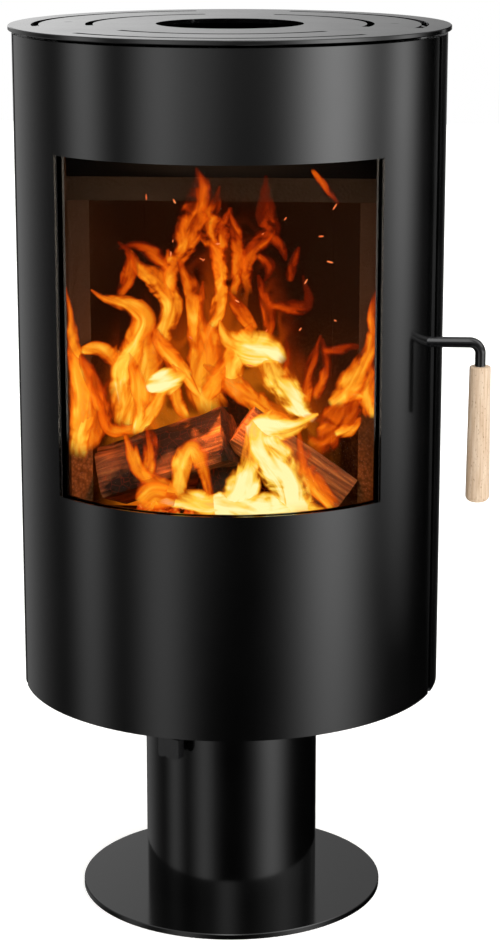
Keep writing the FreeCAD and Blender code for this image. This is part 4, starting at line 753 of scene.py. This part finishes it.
HEART = (
    (FRONT, 0.95, ((-44, 35, 2), (-31, 37, 7), (-18, 39, 2))),
    (FRONT, 0.62, ((-49, 22, 2), (-40, 28, 4), (-30, 36, 4), (-26, 42, 1))),
    (FRONT, 0.45, ((-18, 26, 2), (-24, 31, 4), (-27, 37, 3), (-32, 44, 1))),
    (MIDDLE, 0.52, ((-16, 38, 2), (-24, 43, 4), (-34, 48, 4), (-38, 54, 2))),
    (MIDDLE, 0.42, ((-10, 32, 1), (-20, 39, 3), (-31, 47, 3), (-40, 54, 1))),
    (BACK, 0.57, ((-38, 44, 4), (-31, 53, 5), (-28, 60, 6), (-36, 66, 6), (-46, 70, 4), (-52, 75, 1))),
    (BACK, 0.19, ((-60, 61, 2), (-53, 67, 4), (-51, 73, 3), (-59, 77, 1))),
    (BACK, 0.17, ((-26, 68, 2), (-36, 73, 4), (-48, 76, 3), (-59, 75, 1))),
    (BACK, 0.49, ((-6, 38, 4), (-6, 50, 4), (1, 58, 4), (3, 66, 4), (1, 74, 5), (-4, 82, 7), (2, 93, 1))),
    (BACK, 0.39, ((-29, 58, 3), (-28, 68, 5), (-20, 76, 6), (-13, 83, 8), (-8, 89, 9), (-12, 98, 1))),
    (MIDDLE, 0.48, ((-14, 48, 2), (-13, 58, 4), (-16, 66, 4), (-24, 73, 1))),
    (BACK, 0.29, ((4, 62, 2), (1, 72, 4), (4, 80, 4), (9, 87, 1))),
    (BACK, 0.31, ((10, 62, 2), (14, 70, 4), (13, 78, 4), (8, 87, 1))),
)
RIGHT_SIDE = (
    (BACK, 0.19, ((20, 62, 2), (17, 70, 4), (24, 76, 4), (32, 80, 5), (30, 86, 5), (30, 96, 1))),
    (BACK, 0.09, ((28, 80, 2), (38, 77, 3), (42, 72, 1))),
    (BACK, 0.09, ((24, 74, 2), (32, 71, 3), (29, 66, 1))),
    (BACK, 0.11, ((30, 48, 2), (31, 58, 4), (25, 68, 1))),
    (BACK, 0.09, ((30, 59, 2), (46, 59, 4), (56, 60, 3), (52, 68, 1))),
    (BACK, 0.09, ((44, 66, 2), (46, 71, 3), (50, 76, 1))),
    (BACK, 0.31, ((24, 52, 2), (15, 57, 4), (6, 64, 1))),
    (MIDDLE, 0.80, ((42, 43, 2), (32, 47, 8), (20, 48, 10), (8, 50, 5), (2, 55, 1))),
    (MIDDLE, 0.62, ((16, 33, 3), (9, 39, 6), (14, 47, 6), (22, 54, 1))),
    (MIDDLE, 0.90, ((60, 26, 2), (52, 30, 6), (43, 35, 7), (33, 42, 7), (26, 50, 1))),
    (MIDDLE, 0.48, ((50, 23, 2), (34, 28, 6), (20, 33, 6), (6, 38, 6), (-8, 42, 1))),
    (MIDDLE, 0.42, ((-8, 32, 3), (0, 38, 6), (10, 44, 5), (14, 52, 1))),
    (BACK, 0.21, ((46, 30, 3), (44, 39, 3), (42, 50, 1))),
    (BACK, 0.24, ((53, 31, 3), (57, 40, 4), (63, 51, 1))),
    (BACK, 0.19, ((60, 32, 3), (66, 41, 3), (64, 50, 1))),
    (BACK, 0.09, ((64, 46, 2), (76, 47, 3), (88, 48, 1))),
    (FRONT, 0.48, ((70, 30, 3), (82, 37, 7), (90, 44, 5), (96, 52, 3), (95, 58, 3), (99, 66, 1))),
    (FRONT, 0.45, ((99, 27, 3), (96, 36, 5), (90, 46, 1))),
    (FRONT, 0.55, ((68, 31, 2), (82, 34, 4), (99, 32, 2))),
    (FRONT, 0.60, ((72, 22, 2), (80, 24, 4), (88, 27, 1))),
    (BACK, 0.27, ((57, 98, 1), (65, 93, 2), (73, 88, 1))),
)
LOW_DOWN = (
    (FRONT, 0.45, ((-20, 3, 3), (-34, 6, 5), (-46, 11, 5), (-53, 18, 3), (-58, 25, 1))),
    (FRONT, 0.40, ((-46, 0, 5), (-38, 4, 9), (-30, 3, 6), (-22, 6, 2))),
    (FRONT, 0.25, ((-43, 8, 3), (-40, 18, 4), (-45, 27, 1))),
    (FRONT, 0.62, ((-24, 2, 3), (-22, 12, 5), (-16, 18, 5), (-9, 14, 5), (-4, 3, 3))),
    (FRONT, 0.80, ((-36, 1, 1), (-20, 2, 5), (-4, 1, 6), (10, 4, 1))),
    (FRONT, 0.95, ((-26, 0, 1), (-8, 1, 4), (10, 1, 8), (30, 0, 9), (50, 1, 8), (66, 0, 2))),
    (FRONT, 0.90, ((8, 0, 6), (15, 6, 9), (20, 13, 6), (19, 24, 1))),
    (FRONT, 0.90, ((18, 22, 3), (30, 24, 7), (46, 25, 6), (62, 28, 1))),
    (FRONT, 0.92, ((48, -2, 8), (44, 8, 11), (34, 15, 11), (26, 22, 8), (34, 29, 1))),
    (FRONT, 0.42, ((72, 0, 4), (62, 6, 5), (54, 13, 5), (50, 24, 1))),
)
# Broad flames behind the others close the gaps in the fire's body.
BROAD = (
    (BACK, 0.49, ((-54, 22, 6), (-50, 33, 12), (-45, 44, 12), (-46, 54, 6), (-50, 61, 1))),
    (BACK, 0.47, ((-2, 28, 8), (-7, 38, 12), (-6, 47, 10), (-10, 56, 6), (-8, 66, 1))),
    (MIDDLE, 0.34, ((-80, 16, 6), (-84, 26, 9), (-86, 38, 7), (-92, 48, 1))),
    (MIDDLE, 0.24, ((58, 18, 7), (72, 25, 9), (82, 33, 7), (88, 42, 1))),
)
TONGUES = LEFT_SIDE + HEART + RIGHT_SIDE + LOW_DOWN + BROAD
print("drew", len(TONGUES), "tongues of flame")

# %% Ribbons for the tongues
SPREAD = 1.8  # a ribbon is wider than its flame, which the finish tears from its middle
THINNEST = 0.004
FIRE_SIDE = 0.167
BULGE = 0.6
FLOW_APART = 0.05  # sets the noise of one tongue apart from the next
ACROSS_STEPS = 8
ALONG_STEPS = 40


def add_sheet(mesh, uv, rows):
    """Smooth faces between rows of vertices, with a UV map from 0 to 1 across and along."""
    row_steps = len(rows) - 1
    across_steps = len(rows[0]) - 1
    for step in range(row_steps):
        for k in range(across_steps):
            corners = ((step, k), (step, k + 1), (step + 1, k + 1), (step + 1, k))
            face = mesh.faces.new([rows[s][c] for s, c in corners])
            face.smooth = True
            for loop, (s, c) in zip(face.loops, corners):
                loop[uv].uv = (c / across_steps, s / row_steps)


def make_flames():
    """All tongues as one mesh of ribbons, with the flame UV map and each ribbon's heat."""
    mesh = bmesh.new()
    uv = mesh.loops.layers.uv.new("flame_map")
    heat_layer = mesh.verts.layers.float.new("flame_heat")
    flow_layer = mesh.verts.layers.float_vector.new("flame_flow")
    for number, (depth, heat, drawn) in enumerate(TONGUES):
        shares = [Vector((a / 100, u / 100, w / 100)) for a, u, w in drawn]
        rows = []
        length = 0.0
        last = None
        for step in range(ALONG_STEPS + 1):
            here = along(shares, step / ALONG_STEPS)
            ahead = along(shares, min(step + 1, ALONG_STEPS) / ALONG_STEPS)
            behind = along(shares, max(step - 1, 0) / ALONG_STEPS)
            centre = seen_at(here.x, here.y, depth)
            run = seen_at(ahead.x, ahead.y, depth) - seen_at(behind.x, behind.y, depth)
            sideways = run.cross(Vector((0, 1, 0))).normalized()
            half = max(here.z, THINNEST) * WINDOW_HALF * SPREAD
            room = FIRE_SIDE - half * abs(sideways.x)
            centre.x = min(max(centre.x, -room), room)
            length += (centre - last).length if last else 0.0
            last = centre
            row = []
            for k in range(ACROSS_STEPS + 1):
                across = 2 * k / ACROSS_STEPS - 1
                bulge = Vector((0, -BULGE * half * (1 - across ** 2), 0))
                vertex = mesh.verts.new(centre + sideways * half * across + bulge)
                vertex[heat_layer] = heat
                vertex[flow_layer] = Vector((half * across, length, number * FLOW_APART))
                row.append(vertex)
            rows.append(row)
        add_sheet(mesh, uv, rows)
    return finish_piece("flames", mesh, tongue_flame)


flames = make_flames()
print(flames.name, "has", len(flames.data.polygons), "faces")

# %% [markdown]
# Behind the tongues hangs a curtain of flame, which fills the fire with fine folds. It is one sheet
# across the firebox whose upper edge rises and falls like the fire in the picture: tallest left of
# the middle, low at the sides.

# %% Curtain of flame
CURTAIN_DEPTH, CURTAIN_HEAT = 0.04, 0.08
CURTAIN_REACH = 0.93
CURTAIN_STEPS = 60
RIPPLE = 0.012
RIPPLES_ACROSS, RIPPLES_UP = 11, 5
# The fire's outline in shares of the window: an even height with waves on it, and a peak and
# a shoulder by place across, half width and height.
EVEN_HEIGHT = 0.52
WAVE_HEIGHT, WAVES_ACROSS = 0.06, 9
PEAK = (-0.08, 0.30, 0.42)
SHOULDER = (0.32, 0.22, 0.22)


def fire_height(across):
    """How far up the window the curtain burns, as a share, at a place across it."""
    height = EVEN_HEIGHT + WAVE_HEIGHT * math.sin(WAVES_ACROSS * across)
    for middle, half, rise in (PEAK, SHOULDER):
        height += rise * math.exp(-((across - middle) / half) ** 2)
    return height


def make_curtain():
    """A rippled sheet from the hearth up to the fire's height."""
    mesh = bmesh.new()
    uv = mesh.loops.layers.uv.new("flame_map")
    heat_layer = mesh.verts.layers.float.new("flame_heat")
    rows = [[] for j in range(CURTAIN_STEPS + 1)]
    for i in range(CURTAIN_STEPS + 1):
        across = (2 * i / CURTAIN_STEPS - 1) * CURTAIN_REACH
        for j in range(CURTAIN_STEPS + 1):
            share = j / CURTAIN_STEPS
            ripple = RIPPLE * math.sin(RIPPLES_ACROSS * across + RIPPLES_UP * share)
            vertex = mesh.verts.new(seen_at(across, share * fire_height(across), CURTAIN_DEPTH + ripple))
            vertex[heat_layer] = CURTAIN_HEAT
            rows[j].append(vertex)
    add_sheet(mesh, uv, rows)
    return finish_piece("flame_curtains", mesh, curtain_flame)


curtain = make_curtain()
print(curtain.name, "has", len(curtain.data.polygons), "faces")

# %% [markdown]
# ## Floor and studio light
# The floor is pale and plain, and mirrors look through it. The stove stands in a light tent: a round
# drum mirrors what stands at twice the angle, so the tent is painted with soft upright bands where
# the paint should shine. The drum is seen from above and mirrors what lies below the horizon, so the
# bands fade downwards and are calm above the horizon. There a panel at the back belongs to the top
# plate, and two softboxes in front and a bright zenith belong to the base plate. Lamps of these shapes
# could do the same, but in the tent each band is one row of numbers that is quick to tune.

# %% Floor
FLOOR_HALF = 8.0
FLOOR_GLOW = 0.6


def make_floor():
    finish, tree, shader, coords = new_finish("studio_floor_matt_white")
    patches = add(tree, "ShaderNodeTexNoise", {"Vector": coords, "Scale": per(400), "Detail": 3.0})
    tone = add(tree, "ShaderNodeValToRGB", {"Fac": patches},
               stops=((NOISE_LOW, "f3f2f0"), (NOISE_HIGH, "f6f5f3")))
    feed(tree, shader, Base_Color=tone, Roughness=0.9, Specular_IOR_Level=0.1)
    feed(tree, shader, Emission_Color=tone, Emission_Strength=FLOOR_GLOW)
    data = bpy.data.meshes.new("studio_floor")
    corners = ((-1, -1), (1, -1), (1, 1), (-1, 1))
    data.from_pydata([(x * FLOOR_HALF, y * FLOOR_HALF, 0) for x, y in corners], [], [(0, 1, 2, 3)])
    data.materials.append(finish)
    floor = bpy.data.objects.new("studio_floor", data)
    bpy.context.collection.objects.link(floor)
    floor.visible_glossy = False
    floor.visible_shadow = False
    return floor


print("laid", make_floor().name)

# %% Light tent
# Bands by azimuth from the door's centre, half width and strength, with the share of the strength
# that is left at the band's foot and the level of that foot. Levels are sines of the elevation.
# The narrow band at the right draws the light line along the door's edge.
BANDS = (
    (-138, 30, 0.42, 0.55, -0.36),
    (-77, 13, 1.55, 0.36, -0.36),
    (-33, 15, 1.50, 0.52, -0.36),
    (-12, 14, 0.55, 0.00, -0.33),
    (10, 30, 0.25, 0.00, -0.25),
    (60, 21, 4.60, 0.29, -0.36),
    (105, 12.5, 2.05, 0.00, -0.31),
    (148.5, 3, 0.50, 0.00, -0.35),
    (178, 8, 0.25, 0.30, -0.36),
)
BAND_TOP = -0.09
CALM_FROM, CALM_TO, CALM_SHARE = -0.03, 0.06, 0.25
# The panel and the softboxes by azimuth, half width and strength, with their levels.
PANEL = (-164, 13, 1.18)
PANEL_FROM, PANEL_TO, PANEL_LEFT = 0.1, 0.45, 0.3
SOFTBOXES = ((-2, 15, 3.0), (82, 18, 2.4))
SOFTBOX_FROM, SOFTBOX_TO = 0.25, 0.38
ZENITH_FROM, ZENITH_TO, ZENITH = 0.2, 0.9, 0.8
HORIZON = 0.02
MATT_SHARE = 0.5  # the part of the tent's light that falls on matt surfaces


def hump(tree, azimuth, centre, half_width):
    """A smooth bell over the azimuth, with its middle at the centre."""
    off = add(tree, "ShaderNodeMath", {0: azimuth, 1: math.radians(centre)}, operation="SUBTRACT")
    near = add(tree, "ShaderNodeMath", {0: off, 1: math.pi, 2: -math.pi}, operation="WRAP")
    scaled = add(tree, "ShaderNodeMath", {0: near, 1: math.radians(half_width)}, operation="DIVIDE")
    square = add(tree, "ShaderNodeMath", {0: scaled, 1: scaled}, operation="MULTIPLY")
    turned = add(tree, "ShaderNodeMath", {0: square, 1: -1.0}, operation="MULTIPLY")
    return add(tree, "ShaderNodeMath", {0: math.e, 1: turned}, operation="POWER")


def tent_walls(tree, azimuth, level):
    """The sum of all bands, calmed above the horizon."""
    bands = 0.0
    for centre, half_width, strength, left_over, foot in BANDS:
        bell = hump(tree, azimuth, centre, half_width)
        fade = add(tree, "ShaderNodeMapRange", {
            "Value": level, "From Min": foot, "From Max": BAND_TOP,
            "To Min": strength * left_over, "To Max": strength,
        })
        bands = add(tree, "ShaderNodeMath", {0: bell, 1: fade, 2: bands}, operation="MULTIPLY_ADD")
    calm = add(tree, "ShaderNodeMapRange", {
        "Value": level, "From Min": CALM_FROM, "From Max": CALM_TO, "To Min": 1.0, "To Max": CALM_SHARE,
    })
    return add(tree, "ShaderNodeMath", {0: bands, 1: calm}, operation="MULTIPLY")


def tent_roof(tree, azimuth, level):
    """The panel at the back, the zenith and the softboxes in front, all above the horizon."""
    centre, half_width, strength = PANEL
    bell = hump(tree, azimuth, centre, half_width)
    drop = add(tree, "ShaderNodeMapRange", {
        "Value": level, "From Min": PANEL_FROM, "From Max": PANEL_TO,
        "To Min": strength, "To Max": PANEL_LEFT * strength,
    })
    zenith = add(tree, "ShaderNodeMapRange", {
        "Value": level, "From Min": ZENITH_FROM, "From Max": ZENITH_TO, "To Max": ZENITH,
    })
    roof = add(tree, "ShaderNodeMath", {0: bell, 1: drop, 2: zenith}, operation="MULTIPLY_ADD")
    raised = add(tree, "ShaderNodeMapRange", {
        "Value": level, "From Min": SOFTBOX_FROM, "From Max": SOFTBOX_TO,
    })
    for centre, half_width, strength in SOFTBOXES:
        bell = hump(tree, azimuth, centre, half_width)
        lit = add(tree, "ShaderNodeMath", {0: raised, 1: strength}, operation="MULTIPLY")
        roof = add(tree, "ShaderNodeMath", {0: bell, 1: lit, 2: roof}, operation="MULTIPLY_ADD")
    above = add(tree, "ShaderNodeMapRange", {"Value": level, "From Min": -HORIZON, "From Max": HORIZON})
    return add(tree, "ShaderNodeMath", {0: roof, 1: above}, operation="MULTIPLY")


def make_light_tent():
    """White for the camera; for mirrors and for light, soft bands round the stove."""
    world = bpy.data.worlds.new("light_tent")
    world.use_nodes = True
    tree = world.node_tree
    way = add(tree, "ShaderNodeTexCoord").outputs["Generated"]
    part = add(tree, "ShaderNodeSeparateXYZ", {"Vector": way}).outputs
    front = add(tree, "ShaderNodeMath", {0: part["Y"], 1: -1.0}, operation="MULTIPLY")
    azimuth = add(tree, "ShaderNodeMath", {0: part["X"], 1: front}, operation="ARCTAN2")
    walls = tent_walls(tree, azimuth, part["Z"])
    roof = tent_roof(tree, azimuth, part["Z"])
    light = add(tree, "ShaderNodeMath", {0: roof, 1: walls}, operation="ADD")
    sight = add(tree, "ShaderNodeLightPath").outputs
    share = add(tree, "ShaderNodeMath", {0: sight["Is Diffuse Ray"], 1: MATT_SHARE - 1, 2: 1.0},
                operation="MULTIPLY_ADD")
    dimmed = add(tree, "ShaderNodeMath", {0: light, 1: share}, operation="MULTIPLY")
    tone = add(tree, "ShaderNodeMix", {0: sight["Is Camera Ray"], 2: dimmed, 3: 1.0})
    feed(tree, tree.nodes["Background"], Color=linear("ffffff"), Strength=tone)
    bpy.context.scene.world = world
    return world


print("pitched", make_light_tent().name, "with", len(BANDS), "bands")


# %% Lamps
def add_lamp(name, kind, place, energy, colour, **settings):
    """A lamp that lights but shows in no mirror and in no glass."""
    data = bpy.data.lights.new(name, kind)
    data.energy = energy
    data.color = linear(colour)[:3]
    for key, value in settings.items():
        setattr(data, key, value)
    lamp = bpy.data.objects.new(name, data)
    lamp.location = place
    lamp.visible_camera = False
    lamp.visible_glossy = False
    lamp.visible_transmission = False
    bpy.context.collection.objects.link(lamp)


# A wide overhead light for the floor, and the fire's own light on the logs and the lining.
add_lamp("overhead", "SUN", (0, 0, 3), 1.6, "ffffff", angle=math.radians(110))
add_lamp("fire_glow", "POINT", (-0.02, -0.11, 0.60), 1.9, "ff9540", shadow_soft_size=0.04)
add_lamp("fire_glow_low", "POINT", (0.03, -0.15, 0.50), 0.5, "ffb060", shadow_soft_size=0.02)
